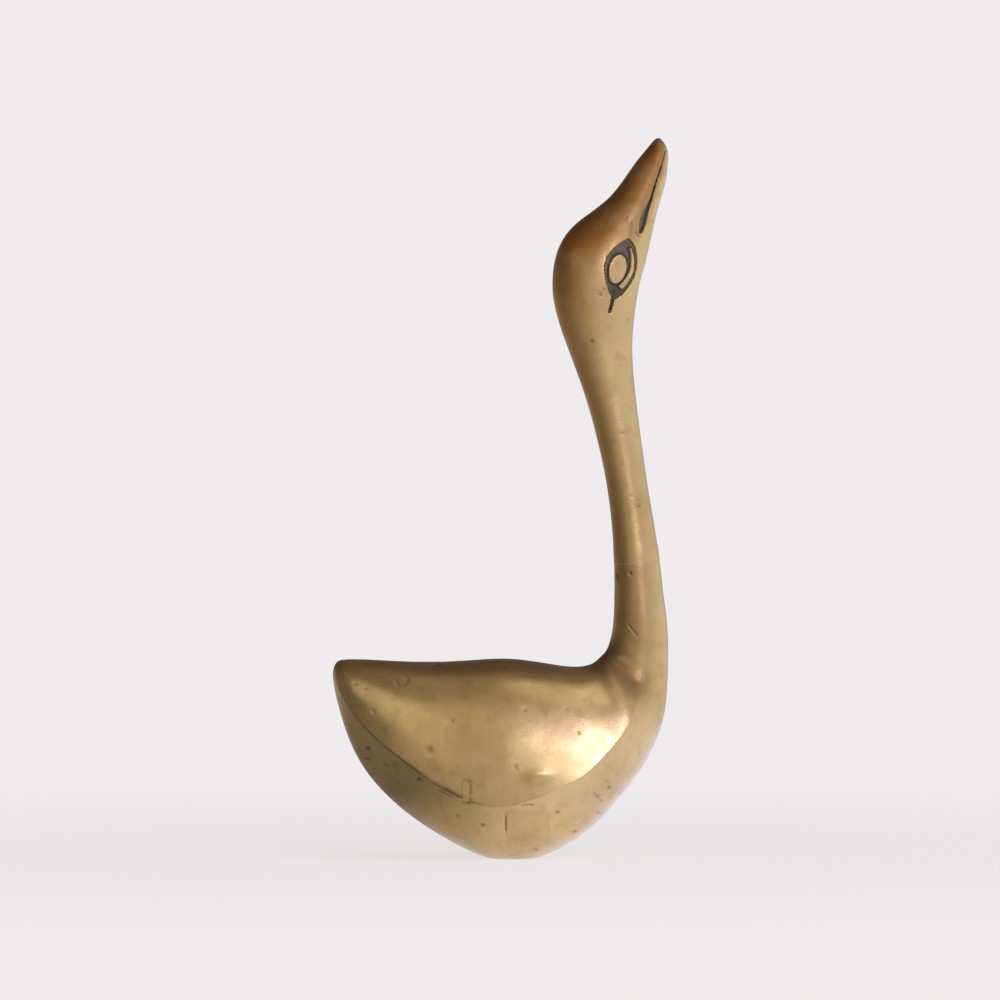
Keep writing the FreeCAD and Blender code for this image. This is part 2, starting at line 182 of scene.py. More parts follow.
def skin_grid(u, t, side, deeper=0.0):
    """Points of the skin in mm: u along the bird, t from 0 on the back over 1 on the ridge to 2 below.
    With a depth given, the points lie that much deeper, on the inside of the wall."""
    held = smooth_run(rib_at, skin_ribs, u)
    if deeper:
        across = held[:, 6] - held[:, 0]
        across /= np.linalg.norm(across, axis=1)[:, None]
        share = np.clip((held[:, 3, 1] - deeper) / held[:, 3, 1], 0.05, 1)
        middle = (held[:, 0] + held[:, 6]) / 2
        depth = np.linalg.norm(held[:, 6] - held[:, 0], axis=1)
        squeeze = (depth - 2 * deeper) / depth
        held = middle[:, None] + (held - middle[:, None]) * squeeze[:, None, None]
        held[:, :, 1] *= (share / squeeze)[:, None]
    t = np.broadcast_to(t, (len(u), np.shape(t)[-1]))
    lower = t > 1
    s = np.where(lower, t - 1, t)
    weights = [(1 - s) ** 3, 3 * s * (1 - s) ** 2, 3 * s ** 2 * (1 - s), s ** 3]
    points = np.zeros(t.shape + (3,))
    for k, weight in enumerate(weights):
        points += np.where(lower[..., None], held[:, None, k + 3], held[:, None, k]) * weight[..., None]
    points[..., 1] *= side
    return points


def outward(points, side, closed=False):
    """Unit vectors that stand square on a grid of skin points."""
    padded = np.concatenate([points[:, -1:], points, points[:, :1]], axis=1) if closed else points
    along = np.gradient(padded, axis=0)
    round_about = np.gradient(padded, axis=1)
    square = np.cross(along, round_about) * side
    if closed:
        square = square[:, 1:-1]
    return square / np.maximum(np.linalg.norm(square, axis=2), 1e-9)[..., None]


def ramp(value, low, high):
    """Rises smoothly from 0 at the low value to 1 at the high one."""
    s = np.clip((value - low) / (high - low), 0, 1)
    return s * s * (3 - 2 * s)


def uneven(points, size, seed):
    """Soft random hills and hollows, one value a point, with this distance between them."""
    flat = points.reshape(-1, 3) / size + seed
    made = np.fromiter((noise.noise(Vector(p)) for p in flat), float, len(flat))
    return made.reshape(points.shape[:-1])


def spots(points, marks):
    """How strongly each point lies in soft round marks: x, z, radius along x, radius along z, strength."""
    total = np.zeros(points.shape[:-1])
    for x, z, rx, rz, strength in marks:
        far = ((points[..., 0] - x) / rx) ** 2 + ((points[..., 2] - z) / rz) ** 2
        total = np.maximum(total, strength * np.exp(-far))
    return total


def strokes(points, lines):
    """The same for straight scratches: from x, z to x, z, then width and strength."""
    total = np.zeros(points.shape[:-1])
    for ax, az, bx, bz, width, strength in lines:
        run = np.array([bx - ax, bz - az])
        rel = np.stack([points[..., 0] - ax, points[..., 2] - az], axis=-1)
        s = np.clip(rel @ run / (run @ run), 0, 1)
        far = np.linalg.norm(rel - s[..., None] * run, axis=-1) / (width / 2)
        total = np.maximum(total, strength * np.exp(-far ** 2))
    return total


def make_mesh(name, vertices, faces, marks=None, sharp=38):
    """A mesh object from points in mm, with its faces turned outwards and crisp edges kept."""
    mesh = bpy.data.meshes.new(name)
    mesh.from_pydata([tuple(v) for v in np.asarray(vertices) * mm], [], faces)
    for key, values in (marks or {}).items():
        mesh.attributes.new(key, "FLOAT", "POINT").data.foreach_set("value", np.asarray(values, np.float32))
    sculpt = bmesh.new()
    sculpt.from_mesh(mesh)
    bmesh.ops.recalc_face_normals(sculpt, faces=sculpt.faces)
    sculpt.to_mesh(mesh)
    sculpt.free()
    mesh.polygons.foreach_set("use_smooth", [True] * len(mesh.polygons))
    mesh.set_sharp_from_angle(angle=math.radians(sharp))
    piece = bpy.data.objects.new(name, mesh)
    bpy.context.collection.objects.link(piece)
    return piece


# the plane of the neck joint, square to the leaning neck, at the top of the body's neck stub
stub_height = 14.9
joint_lean = math.radians(4.0)
neck_run = np.array([-math.sin(joint_lean), 0.0, math.cos(joint_lean)])
neck_across = np.array([math.cos(joint_lean), 0.0, math.sin(joint_lean)])
joint = np.array([shoulder_x, 0.0, shoulder_z]) + neck_run * stub_height
half_joint = 0.15
dowel_hole = 2.53
dowel_reach = 11.2
rib_middles = (skin_ribs[:, 0] + skin_ribs[:, 6]) / 2
breast_to_neck = np.linspace(rib_at[10], rib_at[20], 2000)
above_joint = (smooth_run(rib_at, rib_middles, breast_to_neck) - joint) @ neck_run
joint_at = breast_to_neck[np.argmin(np.abs(above_joint))]


def to_joint(points, offset):
    """Bends the last rings so that the end lies in the plane of the joint, this far above or below it."""
    bend = 4.0
    height = (points - joint) @ neck_run
    end = -1 if offset < 0 else 0
    miss = offset - height[end]
    near = ramp(bend - np.abs(height), 0, bend)
    return points + (near * miss[None, :])[..., None] * neck_run


shell_rings, shell_columns = 330, 176
tip_at = rib_at[1] * 0.16
shell_u = np.linspace(tip_at, joint_at, shell_rings)

# Casting pits, tool marks and pink places of the two flanks, in mm. A pit or a pink place has x, z, radius
# along x, radius along z, then depth or strength. A scratch runs from x, z to x, z, then width and depth.
right_pits = [
    (-34.5, 36.8, 0.40, 0.40, 0.10), (-39.1, 43.6, 0.50, 0.40, 0.06), (-36.5, 42.5, 0.60, 0.40, 0.05),
    (-32.2, 28.4, 0.55, 0.45, 0.10), (-35.8, 27.5, 0.55, 0.40, 0.26), (-36.1, 24.8, 0.45, 0.35, 0.24),
    (-35.2, 20.8, 0.45, 0.35, 0.16), (-23.2, 20.3, 0.50, 0.45, 0.30), (-20.3, 27.2, 0.75, 0.95, 0.10),
    (-14.6, 34.8, 0.35, 0.35, 0.16), (16.4, 31.9, 0.32, 0.32, 0.18), (3.1, 37.4, 0.45, 0.35, 0.12),
    (13.5, 37.6, 0.50, 0.35, 0.10), (-7.3, 9.0, 0.55, 0.40, 0.20), (-13.5, 11.3, 0.50, 0.40, 0.16),
    (6.5, 8.8, 0.45, 0.40, 0.16), (8.2, 10.8, 0.50, 0.35, 0.16), (11.2, 12.2, 0.55, 0.35, 0.20),
    (6.0, 2.6, 0.60, 0.45, 0.14), (21.3, 16.0, 0.50, 0.40, 0.12), (24.0, 18.1, 0.50, 0.45, 0.16),
    (23.5, 19.8, 0.45, 0.40, 0.10), (15.5, 7.1, 0.60, 0.40, 0.16), (0.9, 23.2, 0.45, 0.35, 0.10),
    (-18.3, 48.0, 0.70, 0.40, 0.16), (-1.8, 47.6, 0.60, 0.35, 0.12), (11.3, 47.4, 0.60, 0.30, 0.07),
]
right_scratches = [
    (-31.8, 23.9, -30.8, 23.2, 0.40, 0.16), (-18.1, 17.7, -15.2, 16.1, 0.35, 0.16),
    (2.6, 14.0, 5.0, 14.1, 0.45, 0.16), (20.2, 16.9, 22.2, 14.6, 0.40, 0.16),
    (21.0, 12.0, 22.2, 11.2, 0.45, 0.14), (-28.9, 44.1, -28.1, 43.0, 0.35, 0.16),
    (-12.3, 14.9, -10.2, 14.7, 0.40, 0.24), (-1.5, 11.9, -1.5, 7.6, 0.40, 0.26),
    (29.0, 58.0, 31.2, 55.6, 0.38, 0.16), (26.2, 71.0, 26.6, 69.5, 0.45, 0.20),
    (29.4, 71.2, 29.6, 71.0, 0.60, 0.24),
]
left_pits = [
    (-30.2, 31.0, 0.50, 0.45, 0.24), (-21.4, 39.4, 0.45, 0.40, 0.16), (-9.8, 18.8, 0.60, 0.45, 0.24),
    (4.6, 25.1, 0.45, 0.40, 0.20), (13.2, 12.6, 0.55, 0.45, 0.24), (19.8, 30.9, 0.40, 0.40, 0.20),
    (27.6, 24.3, 0.45, 0.40, 0.20), (-37.7, 33.1, 0.45, 0.35, 0.20), (-2.2, 6.6, 0.60, 0.40, 0.24),
    (9.1, 44.2, 0.45, 0.35, 0.14), (29.9, 62.4, 0.40, 0.40, 0.20),
]
left_scratches = [
    (-25.9, 22.6, -23.8, 21.4, 0.40, 0.18), (6.2, 15.9, 8.8, 15.2, 0.40, 0.16),
    (17.2, 21.6, 18.6, 20.0, 0.40, 0.16), (-14.4, 41.4, -13.6, 40.2, 0.35, 0.14),
]
right_pink = [
    (13.0, 33.2, 6.2, 2.6, 1.00), (18.6, 30.0, 3.0, 2.0, 0.60), (6.8, 35.4, 3.0, 1.6, 0.40),
    (23.0, 17.6, 4.6, 2.6, 0.95), (28.4, 22.6, 2.2, 3.2, 0.60), (17.6, 11.0, 5.2, 2.4, 0.55),
    (5.0, 5.0, 5.4, 1.8, 0.95), (4.2, 11.2, 4.6, 1.6, 0.75), (10.8, 13.6, 5.0, 1.1, 0.75),
    (-40.2, 31.4, 2.4, 5.6, 0.75), (-33.6, 20.4, 3.4, 3.6, 0.55), (-20.2, 27.4, 1.3, 1.6, 0.30),
]
left_pink = [
    (-24.0, 33.0, 5.2, 2.8, 0.70), (8.2, 28.8, 5.6, 2.4, 0.80), (20.4, 18.6, 4.2, 2.6, 0.80),
    (-4.2, 9.4, 5.6, 2.0, 0.70), (-38.0, 29.2, 2.4, 4.6, 0.60), (27.2, 33.4, 2.0, 3.4, 0.45),
]
right_swell = [(6.3, 21.4, 2.8, 1.6, 0.28)]      # left standing by the file above the flank's edge
neck_valley = [(22.5, 51.0, 5.0, 4.2, 1.00)]     # the dip between back and neck, painted dark: partly tarnish, partly painted shade
# strokes of brown painted shade, partly tarnish, in the valley and up the stub, that dim the lamp's
# reflection there
valley_tarnish_and_shade = [(24.0, 49.0, 30.5, 43.5, 8.5, 0.62), (31.2, 71.0, 32.2, 54.0, 7.0, 0.34)]
flank_brown = [(-10.5, 33.0, 9.0, 8.0, 0.40), (-2.0, 38.0, 12.0, 5.0, 0.30)]
crease_full = -15.0        # where the crisp edge of the flank starts to fade, and where it is gone
crease_gone = -4.0
tail_end = (-44.2, -41.5)  # over this stretch the edge fades again towards the tail's tip


def nape_stain(t):
    """Brown down the back of the neck, the same on both sides of the neck joint."""
    return ramp(1.15 - t, 0, 0.8) * 0.50


def shell_marks(points, t, side):
    """Depth to sink each point by, in mm, and how pink, how dark and how brown it is. Dark is grime in the
    cuts, a thin dark line painted along the crisp edge, and painted shade with some grime in the valley
    behind the neck and along the edge of the back. Brown is tarnish on the flank below the valley and down
    the nape, and tarnish with painted shade in the valley, up the stub and along the edge of the back."""
    x, z = points[..., 0], points[..., 2]
    pits, scratches, pink = ((right_pits, right_scratches, right_pink) if side < 0
                             else (left_pits, left_scratches, left_pink))
    sink = 0.038 * uneven(points, 11.0, 3.0 + side) + 0.022 * uneven(points, 4.2, 9.0 + side)
    near_joint = ramp(2.5 - (joint[2] - z), 0, 2.5)
    sink *= 1 - 0.85 * near_joint
    cut = np.maximum(spots(points, pits), strokes(points, scratches))
    # a thin dark line is painted along the crisp edge, over a shallow groove
    line = np.exp(-(np.abs(t - 1) / 0.008) ** 2) * ramp(-x, -crease_gone, -crease_full)
    line *= 0.45 + 0.55 * ramp(uneven(points, 2.6, 21.0), -0.35, 0.25)
    line *= ramp(x, *tail_end)
    sink = sink + cut + 0.10 * line
    if side < 0:
        sink = sink - spots(points, right_swell)
    # painted shade: the valley and the stub are darkened and browned, partly tarnish and grime, partly
    # painted shade
    hollow = np.maximum(spots(points, neck_valley), strokes(points, valley_tarnish_and_shade))
    # darker and browner towards the top edge of the back: partly tarnish, partly painted shade
    top_edge = ramp(z, back_height - 5.5, back_height + 0.2) * ramp(-x, -24.0, -18.0)
    grime_and_shade = np.clip(np.maximum(3.2 * cut, 0.85 * line) + 0.65 * hollow + 0.30 * top_edge, 0, 1)
    nape = nape_stain(t) * ramp(z, 50, 62)
    tarnish_and_shade = np.clip(np.maximum(hollow, nape) + 0.95 * top_edge + spots(points, flank_brown), 0, 1)
    return sink, spots(points, pink), grime_and_shade, tarnish_and_shade


def middle_pattern(back, belly, inner_back, inner_belly):
    """Faces of the flat middle of a shell, ring by ring, with its hollows left open; -1 is no hollow."""
    faces = []
    for i in range(len(back) - 1):
        here, ahead = inner_back[i] >= 0, inner_back[i + 1] >= 0
        if here and ahead:
            faces.append((back[i], inner_back[i], inner_back[i + 1], back[i + 1]))
            faces.append((inner_belly[i], belly[i], belly[i + 1], inner_belly[i + 1]))
        else:
            loop = [back[i]]
            loop += [inner_back[i], inner_belly[i]] if here else []
            loop += [belly[i], belly[i + 1]]
            loop += [inner_belly[i + 1], inner_back[i + 1]] if ahead else []
            faces.append(tuple(loop + [back[i + 1]]))
    return faces


def grid_faces(rows, columns, start, closed=False):
    """Four-sided faces between neighbouring rows of points, from this point's number on."""
    wrap = columns if closed else columns - 1
    return [(start + i * columns + j, start + i * columns + (j + 1) % columns,
             start + (i + 1) * columns + (j + 1) % columns, start + (i + 1) * columns + j)
            for i in range(rows - 1) for j in range(wrap)]


# the cast hollow, from the middle of the body to the breast, and the blind hole for the neck's dowel, as
# rings inside the shell's rings
hollow_columns = 15
hollow_start, hollow_end = rib_at[6], rib_at[12]
hollow_floor = 1.0
hollow_rings = np.nonzero((shell_u >= hollow_start) & (shell_u <= hollow_end))[0]
ring_heights = (smooth_run(rib_at, rib_middles, shell_u) - joint) @ neck_run
dowel_rings = np.nonzero(ring_heights >= -dowel_reach)[0]


def hollow_points(side):
    """The two hollows of one shell, open towards the seam."""
    sweep = np.linspace(0, 2, hollow_columns)
    cavity = skin_grid(shell_u[hollow_rings], sweep, side, wall)
    cavity[..., 2] = np.maximum(cavity[..., 2], hollow_floor)
    turn = np.linspace(0, math.pi, hollow_columns)
    heights = np.minimum(ring_heights[dowel_rings], -half_joint)
    heights[-1] = -half_joint
    bore = (joint + heights[:, None, None] * neck_run
            - dowel_hole * np.cos(turn)[None, :, None] * neck_across
            + dowel_hole * np.sin(turn)[None, :, None] * np.array([0.0, side, 0.0]))
    for tube in (cavity, bore):
        tube[:, 0, 1] = tube[:, -1, 1] = side * half_seam
    return cavity, bore


vent_x, vent_radius, vent_depth = -3.2, 2.02, 1.6      # the hole in the foot that the plug fills
rims = {}                  # the edges that each shell turns to the seam
plain_skin = {}            # each shell's outside as it was before the plugs were let in


def ground_flat(points):
    """Grinds the belly flat for the foot and sinks the round vent hole, its edge drawn to a true circle."""
    drawn_in = 0.35
    ground = points[..., 2] < 0
    rel = points[..., :2] - (vent_x, 0)
    reach = np.maximum(np.hypot(rel[..., 0], rel[..., 1]), 1e-6)
    edge = ground & (np.abs(reach - vent_radius) < drawn_in)
    inside = ground & (reach < vent_radius)
    snapped = np.where(inside, vent_radius - 0.02, vent_radius) / reach
    rel = np.where(edge[..., None], rel * snapped[..., None], rel)
    flat = np.where(inside, vent_depth, np.maximum(points[..., 2], 0))
    return np.concatenate([rel + (vent_x, 0), flat[..., None]], axis=-1), ground


# where plugs and the patch are let into the right shell: middle, half sizes, corner radius
plug_seats = {
    "tail_plug": (-27.0, 44.6, 1.3, 1.3, 1.3),
    "flank_plug": (-11.4, 17.25, 1.1, 2.9, 0.2),
    "belly_patch": (3.9, 8.0, 5.3, 4.3, 0.3),
}
seat_depth = 1.2
hairline_width, hairline_depth = 0.27, 0.015
rim_dirt = [(-27.0, 44.6, 3.0, 3.0, 0.80), (-10.2, 16.6, 1.0, 3.2, 1.00), (-1.4, 10.2, 1.0, 2.0, 1.00)]


def edge_dirt(points):
    """How dark the hairline round a plug is: dirt sits in only part of it."""
    patchy = ramp(uneven(points, 1.1, 5.0), -0.30, 0.10)
    return 0.06 + 0.80 * patchy * spots(points, rim_dirt)


def seat_distance(points, x, z, half_x, half_z, corner):
    """How far inside a rounded rectangle each point lies, seen from the side; negative is outside."""
    dx = np.abs(points[..., 0] - x) - (half_x - corner)
    dz = np.abs(points[..., 2] - z) - (half_z - corner)
    outside = np.hypot(np.maximum(dx, 0), np.maximum(dz, 0))
    return corner - outside - np.minimum(np.maximum(dx, dz), 0)


def body_shell(name, side):
    """One shell as a closed mesh: its outside, its flat middle, the hollow and half of the dowel's hole."""
    held = smooth_run(rib_at, skin_ribs, shell_u)

    # the skin starts and ends half a seam away from the middle plane, and its columns crowd at the ridge
    start = half_seam / (3 * held[:, 1, 1])
    finish = half_seam / (3 * held[:, 5, 1])
    even = np.linspace(-1, 1, shell_columns)
    share = 0.5 + 0.5 * (np.sign(even) * np.abs(even) ** 1.3)[None, :]
    t = start[:, None] * (1 - share) + (2 - finish[:, None]) * share
    smooth = skin_grid(shell_u, t, side)
    square = outward(smooth, side)
    sink, pink, grime_and_shade, tarnish_and_shade = shell_marks(smooth, t, side)
    outside = grid_faces(shell_rings, shell_columns, 0)
    dented = smooth - square * sink[..., None]
    plain_skin[side] = BVHTree.FromPolygons(dented.reshape(-1, 3).tolist(), outside)
    if side < 0:
        for x, z, half_x, half_z, corner in plug_seats.values():
            inside = seat_distance(smooth, x, z, half_x, half_z, corner)
            hairline = np.exp(-(inside / hairline_width) ** 2)
            sink = sink + seat_depth * ramp(inside, 0.15, 0.6) + hairline_depth * hairline
            grime_and_shade = np.maximum(grime_and_shade, hairline * edge_dirt(smooth))
    points = to_joint(smooth - square * sink[..., None], -half_joint)
    points[..., 1] = side * np.maximum(side * points[..., 1], half_seam)
    points[:, 0, 1] = points[:, -1, 1] = side * half_seam
    points, ground = ground_flat(points)
    points[..., 1] = side * np.maximum(side * points[..., 1], half_seam)
    grime_and_shade = np.where(ground, 0.15, grime_and_shade)

    # the tail's tip, the hollows and the edges that meet the seam
    cavity, bore = hollow_points(side)
    tip_x, tip_z = body_place(*body_ribs[0][:2])
    tip = np.array([[tip_x, side * half_seam, tip_z]])
    rims[side] = [tip, points[:, 0], points[:, -1], cavity[:, 0], cavity[:, -1], bore[:, 0], bore[:, -1]]
    vertices = np.concatenate([points.reshape(-1, 3), cavity.reshape(-1, 3), bore.reshape(-1, 3), tip])

    # faces: the outside, the walls and ends of the hollows, the flat middle, the stub's top and the tip
    rings = np.arange(shell_rings)
    back, belly = rings * shell_columns, rings * shell_columns + shell_columns - 1
    inner_back, inner_belly = np.full(shell_rings, -1), np.full(shell_rings, -1)
    faces = outside
    base = points.shape[0] * points.shape[1]
    for tube_rings in (hollow_rings, dowel_rings):
        inner_back[tube_rings] = base + np.arange(len(tube_rings)) * hollow_columns
        inner_belly[tube_rings] = inner_back[tube_rings] + hollow_columns - 1
        faces += grid_faces(len(tube_rings), hollow_columns, base)
        faces.append(tuple(range(base, base + hollow_columns)))
        if tube_rings[-1] != shell_rings - 1:
            end = base + (len(tube_rings) - 1) * hollow_columns
            faces.append(tuple(range(end, end + hollow_columns)))
        base += len(tube_rings) * hollow_columns
    faces += middle_pattern(back.tolist(), belly.tolist(), inner_back.tolist(), inner_belly.tolist())
    top = (shell_rings - 1) * shell_columns
    rim = list(range(top, top + shell_columns))
    bore_rim = list(range(base - hollow_columns, base))
    faces.append(tuple(rim + bore_rim[::-1]))
    faces += [(base, j, j + 1) for j in range(shell_columns - 1)] + [(base, 0, shell_columns - 1)]
    spare = len(vertices) - points.shape[0] * points.shape[1]
    marks = {key: np.concatenate([values.ravel(), np.zeros(spare)])
             for key, values in (("pink", pink), ("grime_and_shade", grime_and_shade), ("tarnish_and_shade", tarnish_and_shade))}
    return make_mesh(name, vertices, faces, marks)


def new_material(name):
    """An empty material and the tree that holds its shader nodes."""
    material = bpy.data.materials.new(name)
    material.use_nodes = True
    tree = material.node_tree
    tree.nodes.clear()
    return material, tree


def add(tree, kind, links=None, **settings):
    """A shader node with its settings and its inputs, by name or number: a socket to link or a value."""
    node = tree.nodes.new(kind)
    for key, value in settings.items():
        setattr(node, key, value)
    for key, value in (links or {}).items():
        if isinstance(value, bpy.types.NodeSocket):
            tree.links.new(value, node.inputs[key])
        else:
            node.inputs[key].default_value = value
    return node


def blend_colour(tree, share, first, second):
    """The first colour, giving way to the second by this share."""
    node = add(tree, "ShaderNodeMix", data_type="RGBA")
    for slot, value in ((0, share), (6, first), (7, second)):
        if isinstance(value, bpy.types.NodeSocket):
            tree.links.new(value, node.inputs[slot])
        else:
            node.inputs[slot].default_value = value if slot == 0 else (*value, 1.0)
    return node.outputs[2]


def spread(tree, value, low, high, to_low=0.0, to_high=1.0):
    """A value between two limits, drawn out to run between two others."""
    return add(tree, "ShaderNodeMapRange", {0: value, 1: low, 2: high, 3: to_low, 4: to_high},
               clamp=True).outputs[0]


def cloud(tree, place, scale, detail=3.0, roughness=0.55, stretch=None):
    """Soft random clouds, about so many to the metre, drawn out if a stretch is given."""
    if stretch:
        place = add(tree, "ShaderNodeMapping", {0: place, 3: stretch}).outputs[0]
    return add(tree, "ShaderNodeTexNoise", {"Vector": place, "Scale": scale, "Detail": detail,
                                            "Roughness": roughness}).outputs["Fac"]


def combined(tree, operation, first, second):
    """Two values added, multiplied or compared."""
    return add(tree, "ShaderNodeMath", {0: first, 1: second}, operation=operation).outputs[0]


def times(tree, first, second):
    return combined(tree, "MULTIPLY", first, second)


def mark(tree, name):
    """How strong a mark of this name is, as the mesh carries it."""
    return add(tree, "ShaderNodeAttribute", attribute_name=name).outputs["Fac"]


spotty_brown = (0.34, 0.21, 0.085)
leached_pink = (0.47, 0.255, 0.155)
tarnish_and_shade_brown = (0.33, 0.145, 0.038)
black_dirt_and_shade = (0.035, 0.022, 0.014)


def brass(name, gold, olive, gloss=0.25):
    """Old polished brass: golden and olive clouds, brown tarnish and brown painted shade where the mesh
    marks them, pink where zinc has leached out, black dirt in pits and lines and black painted shade where
    the mesh marks it, and fine scratches from polishing."""
    material, tree = new_material(name)
    place = add(tree, "ShaderNodeTexCoord").outputs["Object"]
    pink_here, grime_and_shade_here, tarnish_and_shade_here = mark(tree, "pink"), mark(tree, "grime_and_shade"), mark(tree, "tarnish_and_shade")

    # the colour, from the clouds up to the dirt that lies over everything
    clouds = spread(tree, cloud(tree, place, 75.0, 4.0), 0.36, 0.68)
    colour = blend_colour(tree, clouds, gold, olive)
    stains = spread(tree, cloud(tree, place, 260.0, 5.0, 0.62), 0.54, 0.74, 0.0, 0.42)
    colour = blend_colour(tree, stains, colour, spotty_brown)
    pink_edge = spread(tree, cloud(tree, place, 420.0, 5.0, 0.65), 0.38, 0.62)
    pink = times(tree, times(tree, pink_here, pink_edge), 0.62)
    colour = blend_colour(tree, pink, colour, leached_pink)
    # brown tarnish and brown painted shade, then black dirt and black painted shade, where the mesh marks
    # them
    tarnish_and_shade = times(tree, tarnish_and_shade_here, spread(tree, cloud(tree, place, 120.0, 3.0), 0.25, 0.6, 0.55, 1.0))
    colour = blend_colour(tree, tarnish_and_shade, colour, tarnish_and_shade_brown)
    colour = blend_colour(tree, grime_and_shade_here, colour, black_dirt_and_shade)

    # the polish: cloudy, brushed upwards, and duller under tarnish, dirt and painted shade
    rough = spread(tree, cloud(tree, place, 190.0, 4.0), 0.3, 0.7, gloss - 0.05, gloss + 0.08)
    rubbed = spread(tree, cloud(tree, place, 900.0, 3.0, 0.6, (1.0, 1.0, 0.16)), 0.3, 0.7, -0.02, 0.03)
    rough = combined(tree, "ADD", rough, rubbed)
    dull = combined(tree, "MAXIMUM", grime_and_shade_here, tarnish_and_shade_here)
    rough = combined(tree, "ADD", times(tree, dull, 0.22), rough)
    ripple = cloud(tree, place, 700.0, 3.0, 0.5)
    fine = cloud(tree, place, 2600.0, 2.0, 0.6, (1.0, 1.0, 0.3))
    grain = combined(tree, "ADD", times(tree, fine, 0.35), ripple)
    bump = add(tree, "ShaderNodeBump", {"Strength": 0.14, "Distance": 0.00004, "Height": grain})
    metal = spread(tree, grime_and_shade_here, 0.2, 1.0, 1.0, 0.55)
    shader = add(tree, "ShaderNodeBsdfPrincipled", {"Base Color": colour, "Metallic": metal,
                                                    "Roughness": rough, "Normal": bump.outputs[0]})
    add(tree, "ShaderNodeOutputMaterial", {"Surface": shader.outputs[0]})
    return material


cast_brass = brass("cast_brass", (0.63, 0.44, 0.20), (0.53, 0.365, 0.155))
for shell_name, shell_side in (("body_shell_right", -1), ("body_shell_left", 1)):
    shell = body_shell(shell_name + "_dressed", shell_side)
    shell.data.materials.append(cast_brass)
    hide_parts(shell_name)
    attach(shell, "root")

# ---------------------------------------------------------------------------
# SEAM
# The ribbon of braze that joins the two shells all round. It is filed down with the brass beside it, so
# only a line a third of a millimetre wide shows, along the back, the breast, the foot and the tail.


def seam_ribbon(name):
    """The ribbon between the edges of the two shells: its two flat sides, then its outer and inner rims."""
    counts = [len(line) for line in rims[1]]
    starts = np.concatenate([[0], np.cumsum(counts)]).tolist()
    total = starts[-1]
    tip, back, belly, hollow_back, hollow_belly, bore_back, bore_belly = [
        list(range(first, last)) for first, last in zip(starts, starts[1:])]
    inner_back, inner_belly = [-1] * shell_rings, [-1] * shell_rings
    for rings, upper, lower in ((hollow_rings, hollow_back, hollow_belly),
                                (dowel_rings, bore_back, bore_belly)):
        for ring, one, other in zip(rings.tolist(), upper, lower):
            inner_back[ring], inner_belly[ring] = one, other
    flat = middle_pattern(back, belly, inner_back, inner_belly) + [(tip[0], back[0], belly[0])]
    faces = flat + [tuple(corner + total for corner in face) for face in flat]
    for loop in (tip + back + bore_back[::-1] + bore_belly + belly[::-1], hollow_back + hollow_belly[::-1]):
        faces += [(a, b, b + total, a + total) for a, b in zip(loop, loop[1:] + loop[:1])]
    vertices = np.concatenate(rims[-1] + rims[1])
    tarnish_and_shade = 0.30 + 0.25 * uneven(vertices, 6.0, 14.0)
    return make_mesh(name, vertices, faces, {"tarnish_and_shade": tarnish_and_shade, "grime_and_shade": 0 * tarnish_and_shade + 0.10})


braze_metal = brass("braze", (0.62, 0.45, 0.215), (0.53, 0.375, 0.165), 0.28)
seam = seam_ribbon("body_seam_braze_dressed")
seam.data.materials.append(braze_metal)
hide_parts("body_seam_braze")
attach(seam, "root")

# ---------------------------------------------------------------------------
# PLUGS AND PATCH
# Where the right shell came out of the mould with holes, brass plugs were let in and filed level: a round
# one near the tail, an upright one in the flank and a square patch low down. Their edges show as hairlines,
# and the two plugs are stained brown towards their rims.

broken_edge = 0.015


def seat_outline(half_x, half_z, corner, steps=7):
    """Points round a rounded rectangle about its middle."""
    loop = []
    for quarter in range(4):
        start = math.pi / 2 * quarter
        sign_x, sign_z = (1, -1, -1, 1)[quarter], (1, 1, -1, -1)[quarter]
        middle = np.array([sign_x * (half_x - corner), sign_z * (half_z - corner)])
        for turn in np.linspace(start, start + math.pi / 2, steps + 1):
            loop.append(middle + corner * np.array([math.cos(turn), math.sin(turn)]))
        if quarter % 2 == 0:
            straight = np.array([-2 * sign_x * (half_x - corner), 0])
        else:
            straight = np.array([0, -2 * sign_z * (half_z - corner)])
        if np.linalg.norm(straight) > 0.2:
            loop += [loop[-1] + straight * share for share in np.linspace(0, 1, steps + 1)[1:-1]]
    return np.array(loop)


